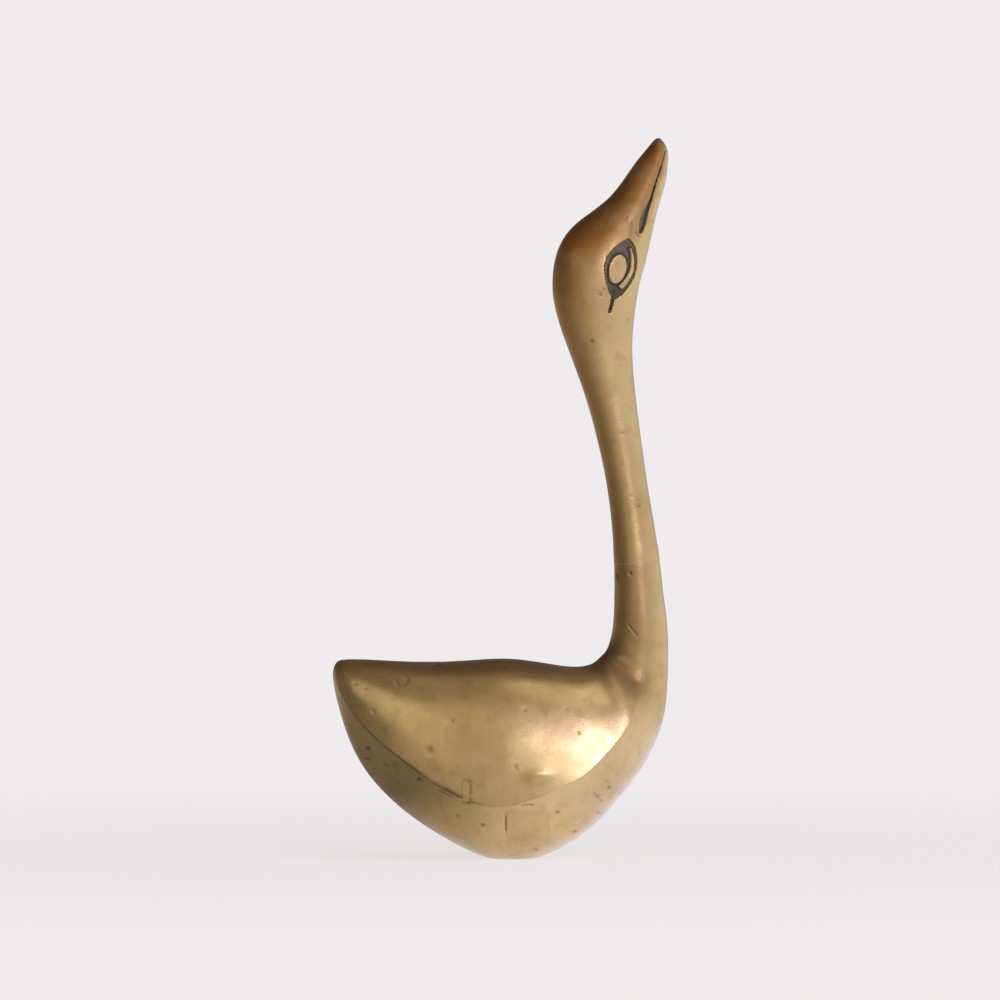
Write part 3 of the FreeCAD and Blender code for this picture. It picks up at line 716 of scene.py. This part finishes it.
def inlay(name, seat, layers, pinkness, brown_edge):
    """A plug whose face follows the skin around it, with an edge that the file has just broken. Its brown
    rim is strongest on the side towards the breast."""
    x, z, half_x, half_z, corner = seat
    outline = seat_outline(half_x, half_z, corner)
    if corner == half_x:
        outline = outline[np.linalg.norm(outline - np.roll(outline, 1, axis=0), axis=1) > 1e-6]
    shares = np.concatenate([np.linspace(0, 1, layers + 1)[1:-1], [0.975, 1.0]])
    face = np.array([[x, 0, z]] + [[x + share * dx, 0, z + share * dz]
                                   for share in shares for dx, dz in outline])
    beside_bird = -30.0
    for point in face:
        found = plain_skin[-1].ray_cast(Vector((point[0], beside_bird, point[2])), Vector((0, 1, 0)))
        point[1] = found[0].y
    count = len(outline)
    face[-count:, 1] += broken_edge
    root = face[-count:] + (0, seat_depth - 0.1, 0)
    vertices = np.concatenate([face, root])
    faces = [(0, 1 + j, 1 + (j + 1) % count) for j in range(count)]
    faces += grid_faces(len(shares) + 1, count, 1, closed=True)
    faces.append(tuple(range(len(vertices) - count, len(vertices))))
    blotches = pinkness * ramp(uneven(vertices, 2.3, 31.0), -0.2, 0.3)
    rim = np.zeros(len(vertices))
    rim[len(face) - count:] = edge_dirt(vertices[len(face) - count:])
    reach = np.concatenate([[0.0], np.repeat(shares, count), np.ones(count)])
    to_breast = ramp(vertices[:, 0] - x, -0.2, 0.7 * half_x)
    stain = brown_edge * ramp(reach, 0.70, 1.0) * (0.35 + 0.65 * to_breast)
    return make_mesh(name, vertices, faces, {"pink": blotches, "grime_and_shade": np.maximum(rim, 0.45 * stain),
                                             "tarnish_and_shade": stain})


plug_metal = brass("plug_brass", (0.60, 0.42, 0.185), (0.50, 0.34, 0.14), 0.33)
for plug_name, layers, pinkness, brown_edge in (("tail_plug", 5, 0.0, 0.85), ("flank_plug", 6, 0.1, 0.85),
                                                ("belly_patch", 16, 0.85, 0.0)):
    plug = inlay(plug_name + "_dressed", plug_seats[plug_name], layers, pinkness, brown_edge)
    plug.data.materials.append(plug_metal)
    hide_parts(plug_name)
    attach(plug, "root")

# ---------------------------------------------------------------------------
# VENT PLUG AND NECK DOWEL
# Two plain turned brass pins. One closes the hole in the foot that let the hot gas out while the shells
# were brazed; the other is hidden in the neck joint and keeps neck and body in line.


def turned(name, profile, foot, run, around=56):
    """A solid of revolution: profile by distance along the run and radius, closed at both ends."""
    run = np.asarray(run, float)
    first = np.cross(run, (0.0, 1.0, 0.0))
    first /= np.linalg.norm(first)
    second = np.cross(run, first)
    turn = np.linspace(0, 2 * math.pi, around + 1)[:-1]
    vertices = [foot + along * run + radius * (math.cos(a) * first + math.sin(a) * second)
                for along, radius in profile for a in turn]
    ends = [tuple(range(around)), tuple(range(len(vertices) - around, len(vertices)))]
    tarnish_and_shade = 0.25 + 0.2 * uneven(np.array(vertices), 1.5, 2.0)
    return make_mesh(name, vertices, grid_faces(len(profile), around, 0, closed=True) + ends,
                     {"tarnish_and_shade": tarnish_and_shade}, sharp=50)


plain_brass = brass("plain_brass", (0.58, 0.41, 0.18), (0.48, 0.33, 0.13), 0.36)
vent_profile = [(0.34, 0.60), (0.30, 1.50), (0.31, 1.85), (0.38, 1.96),
                (0.60, 1.99), (3.00, 1.99), (3.10, 1.90)]
vent_plug = turned("vent_plug_dressed", vent_profile, np.array([vent_x, 0.0, 0.0]), (0, 0, 1))
dowel_radius, dowel_length, dowel_chamfer = 2.5, 22.0, 0.4
dowel = turned("neck_dowel_dressed",
               [(0, dowel_radius - dowel_chamfer), (dowel_chamfer, dowel_radius),
                (dowel_length - dowel_chamfer, dowel_radius), (dowel_length, dowel_radius - dowel_chamfer)],
               joint - neck_run * dowel_length / 2, neck_run)
for pin, pin_name, pin_slot in ((vent_plug, "vent_plug", "plug_brass"),
                                (dowel, "neck_dowel", "plain_brass")):
    pin.data.materials.append(plain_brass)
    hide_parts(pin_name)
    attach(pin, "root")

# ---------------------------------------------------------------------------
# NECK AND HEAD
# One solid casting, set over the dowel and brazed onto the body's neck stub. Crown and bill are stained
# deep brown, and brown painted shade on the bill and low on the neck's sides dims the lamp's reflection. The
# almond eyes, with a pupil and a curved rib left standing, and the line of the bill are cut in with a
# graver.

groove_depth = 0.75

# columns round the neck, closer together on the cheeks, and rings, closer together on the head
side_t = np.concatenate([np.linspace(0, 0.9, 44, endpoint=False), np.linspace(0.9, 2, 76)])
neck_t = np.concatenate([side_t, side_t[-2:0:-1]])
nape_at = rib_at[21]
neck_u = np.concatenate([np.linspace(joint_at, nape_at, 105, endpoint=False),
                         np.linspace(nape_at, rib_at[-1] - 0.25, 240)])


def both_sides(u, side_t):
    """Closed rings of the skin: down the right side and back up the left."""
    right, left = skin_grid(u, side_t[None, :], -1), skin_grid(u, side_t[None, ::-1], 1)
    return np.concatenate([right, left[:, 1:-1]], axis=1)


def smoothed(points, steps=40):
    """A smooth outline through given points, by distance along them."""
    points = np.array(points, float)
    at = np.concatenate([[0], np.cumsum(np.linalg.norm(np.diff(points, axis=0), axis=1))])
    return smooth_run(at, points, np.linspace(0, at[-1], steps))


def ribbon_loop(run, widths):
    """The closed outline of a strip that follows a run of points with a width at each."""
    run = np.array(run, float)
    ahead = np.array([run[min(k + 1, len(run) - 1)] - run[max(k - 1, 0)] for k in range(len(run))])
    across = np.stack([-ahead[:, 1], ahead[:, 0]], axis=1)
    across *= (np.array(widths) / 2 / np.linalg.norm(across, axis=1))[:, None]
    return np.concatenate([smoothed(run + across), smoothed(run - across)[::-1]])


def inside_loop(points, loop):
    """How far inside a closed outline each point lies, seen from the side; negative is outside."""
    flat = points[..., [0, 2]].reshape(-1, 2)
    low, high = loop.min(axis=0) - 1.5, loop.max(axis=0) + 1.5
    near = np.nonzero(np.all((flat > low) & (flat < high), axis=1))[0]
    some = flat[near]
    best = np.full(len(near), 9.0)
    crossings = np.zeros(len(near), int)
    for start, end in zip(loop, np.roll(loop, -1, axis=0)):
        run = end - start
        if run @ run < 1e-12:
            continue
        share = np.clip((some - start) @ run / (run @ run), 0, 1)
        best = np.minimum(best, np.linalg.norm(some - start - share[:, None] * run, axis=1))
        if run[1]:
            meets = start[0] + (some[:, 1] - start[1]) / run[1] * run[0]
            crossings += ((start[1] > some[:, 1]) != (end[1] > some[:, 1])) & (some[:, 0] < meets)
    result = np.full(len(flat), -9.0)
    result[near] = np.where(crossings % 2 == 1, best, -best)
    return result.reshape(points.shape[:-1])


# the eye: an almond with a tail at its lower corner, by shares of its width and length from its middle
eye_x, eye_z = nape_x + 0.255 * head_depth, nape_z + 0.785 * head_depth
eye_width, eye_length = 8.1, 15.2
pupil_lean = math.radians(14.0)


def eye_place(ahead, up):
    """A place in mm from its shares of the eye's width and length."""
    return eye_x + ahead * eye_width, eye_z + up * eye_length


eye_low, eye_high = eye_place(-0.235, -0.505), eye_place(0.245, 0.490)
eye_rear = smoothed([eye_low, eye_place(-0.375, -0.345), eye_place(-0.478, -0.125),
                     eye_place(-0.500, 0.030), eye_place(-0.425, 0.180), eye_place(-0.262, 0.290),
                     eye_place(-0.035, 0.400), eye_high])
eye_front = smoothed([eye_low, eye_place(0.005, -0.442), eye_place(0.172, -0.343), eye_place(0.339, -0.228),
                      eye_place(0.450, -0.103), eye_place(0.504, 0.022), eye_place(0.515, 0.147),
                      eye_place(0.485, 0.275), eye_place(0.385, 0.405), eye_high])
almond = np.concatenate([eye_rear, eye_front[::-1]])
eye_tail = ribbon_loop([eye_place(-0.225, -0.450), eye_place(-0.262, -0.545), eye_place(-0.300, -0.630),
                        eye_place(-0.350, -0.725)], [0.75, 0.75, 0.70, 0.60])
eye_rib = ribbon_loop([eye_place(0.289, 0.341), eye_place(0.351, 0.244), eye_place(0.378, 0.129),
                       eye_place(0.369, 0.022), eye_place(0.301, -0.097), eye_place(0.199, -0.185),
                       eye_place(0.091, -0.261), eye_place(-0.014, -0.323)],
                      [0.50, 0.72, 0.90, 0.90, 1.04, 1.17, 1.26, 1.26])

# the line of the bill, from near its tip down to the cheek, where it widens
bill_run = [(0.429, 0.599), (0.393, 0.492), (0.334, 0.304), (0.305, 0.209),
            (0.269, 0.127), (0.236, 0.020), (0.214, -0.073), (0.198, -0.127)]
bill_widths = [0.28, 0.31, 0.43, 0.69, 1.08, 1.50, 1.20, 0.54]
bill_line = ribbon_loop([(root_x + ahead * bill_length, root_z + up * bill_length)
                         for ahead, up in bill_run], bill_widths)


def engraved(points):
    """How far inside the engraved lines each point lies, and how far inside the standing pupil or rib."""
    pupil_x, pupil_z = eye_place(-0.091, -0.011)
    rel_x, rel_z = points[..., 0] - pupil_x, points[..., 2] - pupil_z
    along = rel_x * math.sin(pupil_lean) + rel_z * math.cos(pupil_lean)
    aside = rel_x * math.cos(pupil_lean) - rel_z * math.sin(pupil_lean)
    half_long, half_short = 0.247 * eye_length, 0.272 * eye_width
    pupil = (1 - np.hypot(along / half_long, aside / half_short)) * half_short
    standing = np.maximum(pupil, inside_loop(points, eye_rib))
    eye = np.minimum(np.maximum(inside_loop(points, almond), inside_loop(points, eye_tail)), -standing)
    return np.maximum(eye, inside_loop(points, bill_line)), standing


# pits, scratches and pink places as on the flanks; the last scratches are the hatching across the eye's rib
neck_pits = [
    (19.9, 128.8, 0.50, 0.45, 0.24), (26.2, 148.0, 0.25, 0.25, 0.12), (22.0, 140.3, 0.40, 0.50, 0.16),
    (22.9, 141.6, 0.35, 0.30, 0.14), (28.6, 159.6, 0.35, 0.35, 0.12), (29.0, 134.2, 0.35, 0.35, 0.10),
    (17.4, 115.5, 0.40, 0.35, 0.12), (27.3, 98.2, 0.35, 0.40, 0.10), (29.8, 90.3, 0.40, 0.35, 0.12),
]
neck_scratches = [
    (26.2, 106.3, 28.0, 105.9, 0.35, 0.14), (30.4, 87.9, 31.9, 87.7, 0.35, 0.14),
    (27.7, 159.4, 29.4, 157.5, 0.40, 0.10), (30.85, 156.0, 31.75, 155.0, 0.45, 0.16),
    (37.28, 172.5, 38.35, 176.5, 0.34, 0.26), (29.4, 154.6, 30.1, 158.6, 0.65, 0.07),
    (22.4, 82.0, 23.1, 79.4, 0.45, 0.08), (24.2, 164.6, 25.8, 163.6, 0.40, 0.12),
] + [(26.7 + 0.36 * k, 142.75 + 0.48 * k, 27.6 + 0.36 * k, 142.05 + 0.48 * k, 0.26, 0.12) for k in range(6)]
neck_pink = [
    (25.4, 163.6, 2.2, 1.2, 0.80), (28.4, 158.0, 1.9, 1.7, 0.90), (22.4, 140.2, 1.6, 2.0, 0.35),
    (24.6, 84.0, 1.6, 10.0, 0.45), (34.8, 77.0, 1.2, 8.0, 0.40),
]
# painted shade: brown strokes up the sides of the neck that dim the lamp's streak of reflection
neck_side_shade = [(31.9, 72.0, 29.9, 90.0, 5.5, 0.32), (29.9, 90.0, 27.6, 106.0, 4.5, 0.26)]
joint_swell = 0.05         # the neck was filed a little fuller than the stub, just above the joint


def neck_marks(points, t):
    """The same as for a shell. Brown lies on the crown and the bill and down the nape; on the bill it is
    partly painted shade, and a streak of brown painted shade low on the sides of the neck dims the lamp's
    reflection.
    Pits and scratches have been polished half away."""
    z = points[..., 2]
    sink = 0.035 * uneven(points, 9.0, 41.0) + 0.012 * uneven(points, 3.4, 17.0)
    above = (points - joint) @ neck_run
    sink *= ramp(above, 0, 3.0)
    sink = sink - joint_swell * np.exp(-((above - 2.6) / 2.0) ** 2) * ramp(above, 0, 1.0)
    cut = np.maximum(spots(points, neck_pits), strokes(points, neck_scratches))
    crown = ramp(1.42 - t, 0, 0.75)
    # brown on the bill: partly a real stain, partly painted shade that dims the lamp's reflection there
    bill_stain_and_shade = ramp(1.70 - t, 0, 0.35) * ramp(z, 148, 160)
    stain = crown * ramp(z, 124, 150) * 0.80 + bill_stain_and_shade * 0.52
    tarnish_and_shade = np.maximum(np.maximum(stain, nape_stain(t)), strokes(points, neck_side_shade))
    grime_and_shade = np.clip(3.2 * cut + 0.14 * bill_stain_and_shade, 0, 1)
    return sink + 0.5 * cut, spots(points, neck_pink), grime_and_shade, np.clip(tarnish_and_shade, 0, 1)


neck_smooth = both_sides(neck_u, side_t)
neck_square = outward(neck_smooth, -1, closed=True)
eye_and_bill, standing = engraved(neck_smooth)
sink, pink, grime_and_shade, tarnish_and_shade = neck_marks(neck_smooth, neck_t[None, :])

# the graver's walls are steep and a little ragged, and black with dirt down to the filling
ragged = eye_and_bill + 0.05 * uneven(neck_smooth, 0.9, 8.0)
groove = ramp(ragged, -0.10, 0.17)
sink = sink * (1 - groove) + groove_depth * groove
grime_and_shade = np.maximum(grime_and_shade, 0.85 * ramp(ragged, -0.17, 0.05))
neck_points = to_joint(neck_smooth - neck_square * sink[..., None], half_joint)


def round_hole(ring, height):
    """The rim of the dowel's hole, one point for each point of the ring around it."""
    rel = ring - joint
    turn = np.arctan2(rel[:, 1], rel @ neck_across)
    around = np.cos(turn)[:, None] * neck_across + np.sin(turn)[:, None] * np.array([0.0, 1.0, 0.0])
    return joint + height * neck_run + dowel_hole * around


neck_columns = len(neck_t)
hole = [round_hole(neck_points[0], height) for height in (dowel_reach, half_joint)]
bill_end = skin_ribs[-1, :1]
neck_vertices = np.concatenate(hole + [neck_points.reshape(-1, 3), bill_end])
neck_rows = len(neck_u) + 2
last_row = (neck_rows - 1) * neck_columns
neck_faces = grid_faces(neck_rows, neck_columns, 0, closed=True) + [tuple(range(neck_columns))]
neck_faces += [(last_row + j, last_row + (j + 1) % neck_columns, last_row + neck_columns)
               for j in range(neck_columns)]
hidden = np.zeros(2 * neck_columns)
neck_and_head = make_mesh("neck_and_head_dressed", neck_vertices, neck_faces,
                          {key: np.concatenate([hidden, values.ravel(), values[-1:, 0]])
                           for key, values in (("pink", pink), ("grime_and_shade", grime_and_shade), ("tarnish_and_shade", tarnish_and_shade))})
neck_and_head.data.materials.append(cast_brass)
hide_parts("neck_and_head")
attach(neck_and_head, "root")

# ---------------------------------------------------------------------------
# NECK JOINT
# A washer of braze around the dowel, between the body's stub and the neck, 0.3 mm thick. It is filed a hair
# below the brass, so it shows only as a fine line across the reflection.

washer_sink = 0.005
washer_flat = 0.06         # half of the width over which it is sunk
washer_rings = []
joint_ring = both_sides(np.array([joint_at - 1, joint_at, joint_at + 1]), side_t)
joint_square = outward(joint_ring, -1, closed=True)[1]
for height, deeper in ((-half_joint, 0.0), (-washer_flat, washer_sink),
                       (washer_flat, washer_sink), (half_joint, 0.0)):
    washer = joint_ring[1] - joint_square * deeper
    washer_rings.append(washer + (height - (washer - joint) @ neck_run)[:, None] * neck_run)
washer_rings += [round_hole(washer_rings[0], height) for height in (half_joint, -half_joint)]
washer_faces = grid_faces(len(washer_rings), neck_columns, 0, closed=True)
back_to_first = (len(washer_rings) - 1) * neck_columns
washer_faces += [(back_to_first + j, back_to_first + (j + 1) % neck_columns, (j + 1) % neck_columns, j)
                 for j in range(neck_columns)]
washer_points = np.concatenate(washer_rings)
washer = make_mesh("neck_joint_braze_dressed", washer_points, washer_faces,
                   {"tarnish_and_shade": 0.10 + 0.2 * uneven(washer_points, 3.0, 6.0)})
washer.data.materials.append(braze_metal)
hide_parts("neck_joint_braze")
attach(washer, "root")

# ---------------------------------------------------------------------------
# FILLING OF THE EYES AND THE BILL
# Old polish and wax that lies caked in the engraved lines, a quarter of a millimetre thick. It is grey in
# the wide places and black against the pupil and the rib, in the eye's lower corner and tail, and along the
# front of the bill's line. At the eye's rim and down its rear side it is worn to the brown of old brass.

filling_top = 0.50         # how deep below the skin its top lies, and how far it runs into the walls
filling_tuck = 0.14
eye_rear_worn = [(23.2, 145.6, 1.8, 4.0, 1.00)]
eye_corner_black = [(25.6, 141.0, 2.2, 2.2, 0.75)]


def filling(name, columns, part_line, black, worn):
    """The caked filling under one engraved line, a thin sheet that runs a little into the walls."""
    under = part_line > -filling_tuck
    keep = np.zeros(neck_columns, bool)
    keep[columns] = True
    under &= keep[None, :]

    # the cells of the neck's own grid that lie under the line, and the points they use
    cells = under[:-1, :-1] & under[1:, :-1] & under[:-1, 1:] & under[1:, 1:]
    where = np.argwhere(cells)
    number = -np.ones(under.shape, int)
    corners = [(0, 0), (0, 1), (1, 1), (1, 0)]
    used = np.zeros(under.shape, bool)
    for di, dj in corners:
        used[where[:, 0] + di, where[:, 1] + dj] = True
    number[used] = np.arange(used.sum())
    count = int(used.sum())
    lumpy = 0.05 * uneven(neck_smooth[used], 0.7, 12.0)
    depth = filling_top + lumpy + 0.10 * ramp(part_line[used], 0.15, 0.6)
    top = neck_smooth[used] - neck_square[used] * depth[:, None]
    floor = neck_smooth[used] - neck_square[used] * (groove_depth - 0.01)
    faces = []
    edges = {}
    for i, j in where.tolist():
        loop = [int(number[i + di, j + dj]) for di, dj in corners]
        faces.append(tuple(loop))
        faces.append(tuple(corner + count for corner in loop[::-1]))
        for a, b in zip(loop, loop[1:] + loop[:1]):
            edges[(a, b)] = edges.get((a, b), 0) + 1
    for a, b in edges:
        if (b, a) not in edges:
            faces.append((b, a, a + count, b + count))
    marks = {"grime_and_shade": np.concatenate([black[used]] * 2), "tarnish_and_shade": np.concatenate([worn[used]] * 2)}
    return make_mesh(name, np.concatenate([top, floor]), faces, marks, sharp=60)


def wax(name):
    """Dull grey-brown cake, black in places and rubbed down to the brown of old brass in others."""
    material, tree = new_material(name)
    place = add(tree, "ShaderNodeTexCoord").outputs["Object"]
    black, worn = mark(tree, "grime_and_shade"), mark(tree, "tarnish_and_shade")
    mottle = spread(tree, cloud(tree, place, 900.0, 4.0), 0.35, 0.7)
    colour = blend_colour(tree, mottle, (0.165, 0.143, 0.085), (0.098, 0.080, 0.048))
    colour = blend_colour(tree, times(tree, worn, 0.7), colour, (0.230, 0.150, 0.062))
    colour = blend_colour(tree, times(tree, black, 0.85), colour, (0.028, 0.020, 0.012))
    lumps = cloud(tree, place, 2200.0, 3.0)
    bump = add(tree, "ShaderNodeBump", {"Strength": 0.6, "Distance": 0.0001, "Height": lumps})
    shine = spread(tree, lumps, 0.3, 0.7, 0.5, 0.75)
    shader = add(tree, "ShaderNodeBsdfPrincipled", {"Base Color": colour, "Roughness": shine,
                                                    "Specular IOR Level": 0.3, "Normal": bump.outputs[0]})
    add(tree, "ShaderNodeOutputMaterial", {"Surface": shader.outputs[0]})
    return material


dark_filling = wax("dark_filling")
bill_only = inside_loop(neck_smooth, bill_line)
eye_only = np.where(bill_only > -0.5, -9.0, eye_and_bill)
in_tail = ramp(inside_loop(neck_smooth, eye_tail), -0.15, 0.10)
eye_black = np.maximum(ramp(standing, -0.55, -0.20), in_tail)
eye_black = np.maximum(eye_black, spots(neck_smooth, eye_corner_black))
eye_worn = 1 - ramp(inside_loop(neck_smooth, almond), 0.10, 0.50)
eye_worn = np.maximum(eye_worn, spots(neck_smooth, eye_rear_worn))
bill_black = 1 - ramp(inside_loop(neck_smooth + (0.45, 0.0, 0.0), bill_line), -0.15, 0.25)
right_columns, left_columns = slice(0, len(side_t)), slice(len(side_t), neck_columns)
for place_name, line, black, worn in (("eye", eye_only, eye_black, eye_worn),
                                      ("bill", bill_only, bill_black, np.zeros(bill_black.shape))):
    for side_name, columns in (("right", right_columns), ("left", left_columns)):
        node = side_name + "_" + place_name + "_fill"
        cake = filling(node + "_dressed", columns, line, black, worn)
        cake.data.materials.append(dark_filling)
        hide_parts(node)
        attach(cake, "root")

# ---------------------------------------------------------------------------
# STUDIO
# A pale floor that melts into a pale backdrop, four soft lamps, and a room that the brass mirrors as bluish
# and bright low on the right and as dim on the left, above and behind. To the metal alone the floor glows
# brighter and bluer on the right and dimmer on the left, a painted reflection. So the brass goes from dark
# brown on the left to pale gold on the right. The camera sees the floor and the backdrop plain and pale.

stage_light = (0.855, 0.838, 0.838)
floor_radius = 0.45
floor_material, tree = new_material("floor")
place = add(tree, "ShaderNodeTexCoord").outputs["Object"]
far = add(tree, "ShaderNodeVectorMath", {0: place}, operation="LENGTH").outputs["Value"]
sideways = add(tree, "ShaderNodeSeparateXYZ", {0: place}).outputs[0]
rays = add(tree, "ShaderNodeLightPath").outputs
paper = add(tree, "ShaderNodeBsdfDiffuse", {"Color": (*stage_light, 1.0)})
mirrored = combined(tree, "MAXIMUM", rays["Is Glossy Ray"], rays["Is Transmission Ray"])
seen = combined(tree, "MAXIMUM", rays["Is Camera Ray"], mirrored)
# painted reflection: only mirrored rays see the floor's glow run from dim on the left to bright and bluish
# on the right
painted_reflection_level = spread(tree, sideways, -0.045, 0.015, 0.20, 1.65)
strength = add(tree, "ShaderNodeMix", {0: mirrored, 2: 1.13, 3: painted_reflection_level}, data_type="FLOAT").outputs[0]
painted_blue_reflection = times(tree, mirrored, spread(tree, sideways, -0.02, 0.035))
floor_tint = blend_colour(tree, painted_blue_reflection, stage_light, (0.80, 0.86, 1.12))
glow = add(tree, "ShaderNodeEmission", {"Color": floor_tint, "Strength": strength})
lit = add(tree, "ShaderNodeMixShader", {0: times(tree, seen, 0.7), 1: paper.outputs[0], 2: glow.outputs[0]})
clear = add(tree, "ShaderNodeBsdfTransparent")
fading = spread(tree, far, 0.10, floor_radius - 0.03)
melt = add(tree, "ShaderNodeMixShader", {0: fading, 1: lit.outputs[0], 2: clear.outputs[0]})
add(tree, "ShaderNodeOutputMaterial", {"Surface": melt.outputs[0]})
floor_mesh = bpy.data.meshes.new("floor")
floor_sides = 96
ring = [(floor_radius * math.cos(a), floor_radius * math.sin(a), 0.0)
        for a in np.linspace(0, 2 * math.pi, floor_sides + 1)[:-1]]
floor_mesh.from_pydata(ring, [], [tuple(range(floor_sides))])
floor = bpy.data.objects.new("floor", floor_mesh)
floor_mesh.materials.append(floor_material)
bpy.context.collection.objects.link(floor)


def facing(tree, heading, way):
    """How far a ray heads this way: 1 straight along it, -1 straight against it."""
    return add(tree, "ShaderNodeVectorMath", {0: heading, 1: way}, operation="DOT_PRODUCT").outputs["Value"]


# the room: bright low on the right, dim high on the left and behind, and warmer there
low_right, up_behind = (0.85, 0.10, -0.52), (0.0, 0.80, 0.60)
room = bpy.data.worlds.new("room")
bpy.context.scene.world = room
room.use_nodes = True
tree = room.node_tree
tree.nodes.clear()
heading = add(tree, "ShaderNodeTexCoord").outputs["Generated"]
toward = facing(tree, heading, low_right)
behind = facing(tree, heading, up_behind)
level = times(tree, spread(tree, toward, -0.85, -0.40, 0.38, 1.0),
              spread(tree, toward, -0.40, 0.95, 0.56, 1.08))
level = times(tree, level, spread(tree, behind, 0.55, 0.95, 1.0, 0.35))
tint = blend_colour(tree, spread(tree, toward, -0.8, 0.5), (1.0, 0.90, 0.76), (0.97, 1.0, 1.12))
dim = add(tree, "ShaderNodeBackground", {"Color": tint, "Strength": level})
pale = add(tree, "ShaderNodeBackground", {"Color": (*stage_light, 1.0), "Strength": 1.0})
camera_ray = add(tree, "ShaderNodeLightPath").outputs["Is Camera Ray"]
sky = add(tree, "ShaderNodeMixShader", {0: camera_ray, 1: dim.outputs[0], 2: pale.outputs[0]})
add(tree, "ShaderNodeOutputWorld", {"Surface": sky.outputs[0]})


def toward_lamp(right, up):
    """The direction to a spot by degrees to the right of the camera and up."""
    right, up = math.radians(right), math.radians(up)
    return Vector((math.sin(right) * math.cos(up), -math.cos(right) * math.cos(up), math.sin(up)))


# Each lamp runs from one spot to another, by degrees to the right of the camera and up, as seen from the
# flank; then width, brightness and how blue. The lamp is narrow and bright and slants up to the right: the
# flank mirrors it as a white streak above its edge. The skirt is wide and weak, and lies beside its lower
# left. The ceiling lights the back, and the fill lifts the flank near the tail.
flank_spot = Vector((22.0, -18.0, 29.0)) * mm
lamp_distance = 0.9
for name, ends, width, brightness, blue in (("lamp", ((11, 14), (36, 37)), 0.055, 11.5, 1.55),
                                            ("skirt", ((-5, 11), (15, 22)), 0.12, 1.25, 1.22),
                                            ("ceiling", ((15, 60), (75, 68)), 0.36, 0.50, 1.0),
                                            ("fill", ((-58, 33), (-16, 19)), 0.38, 0.62, 0.96)):
    low_end, high_end = [flank_spot + toward_lamp(*spot) * lamp_distance for spot in ends]
    lamp = bpy.data.lights.new(name, "AREA")
    lamp.shape = "RECTANGLE"
    lamp.size, lamp.size_y = (high_end - low_end).length, width
    lamp.energy = brightness * math.pi * lamp.size * lamp.size_y
    lamp.color = (0.95, 0.98, blue)

    # the panel lies along its two ends and shines at the flank
    holder = bpy.data.objects.new(name, lamp)
    lamp_middle = (low_end + high_end) / 2
    back_axis = (lamp_middle - flank_spot).normalized()
    long_axis = (high_end - low_end).normalized()
    short_axis = back_axis.cross(long_axis).normalized()
    holder.matrix_world = Matrix((long_axis, short_axis, long_axis.cross(short_axis))).transposed().to_4x4()
    holder.location = lamp_middle
    holder.visible_camera = False
    bpy.context.collection.objects.link(holder)

# the camera looks level at the bird's right side, and a quarter of a metre fills its picture
bird_middle = Vector((-3.0 * mm, 0.0, 89.25 * mm))
camera_away, picture_width = 1.6, 0.25
camera = bpy.data.cameras.new("camera")
camera.sensor_width = 36.0
camera.lens = camera.sensor_width * camera_away / picture_width
viewer = bpy.data.objects.new("camera", camera)
viewer.location = bird_middle + Vector((0.0, -camera_away, 0.0))
viewer.rotation_euler = (math.pi / 2, 0.0, 0.0)
bpy.context.collection.objects.link(viewer)
bpy.context.scene.camera = viewer
bpy.context.scene.view_settings.view_transform = "Standard"
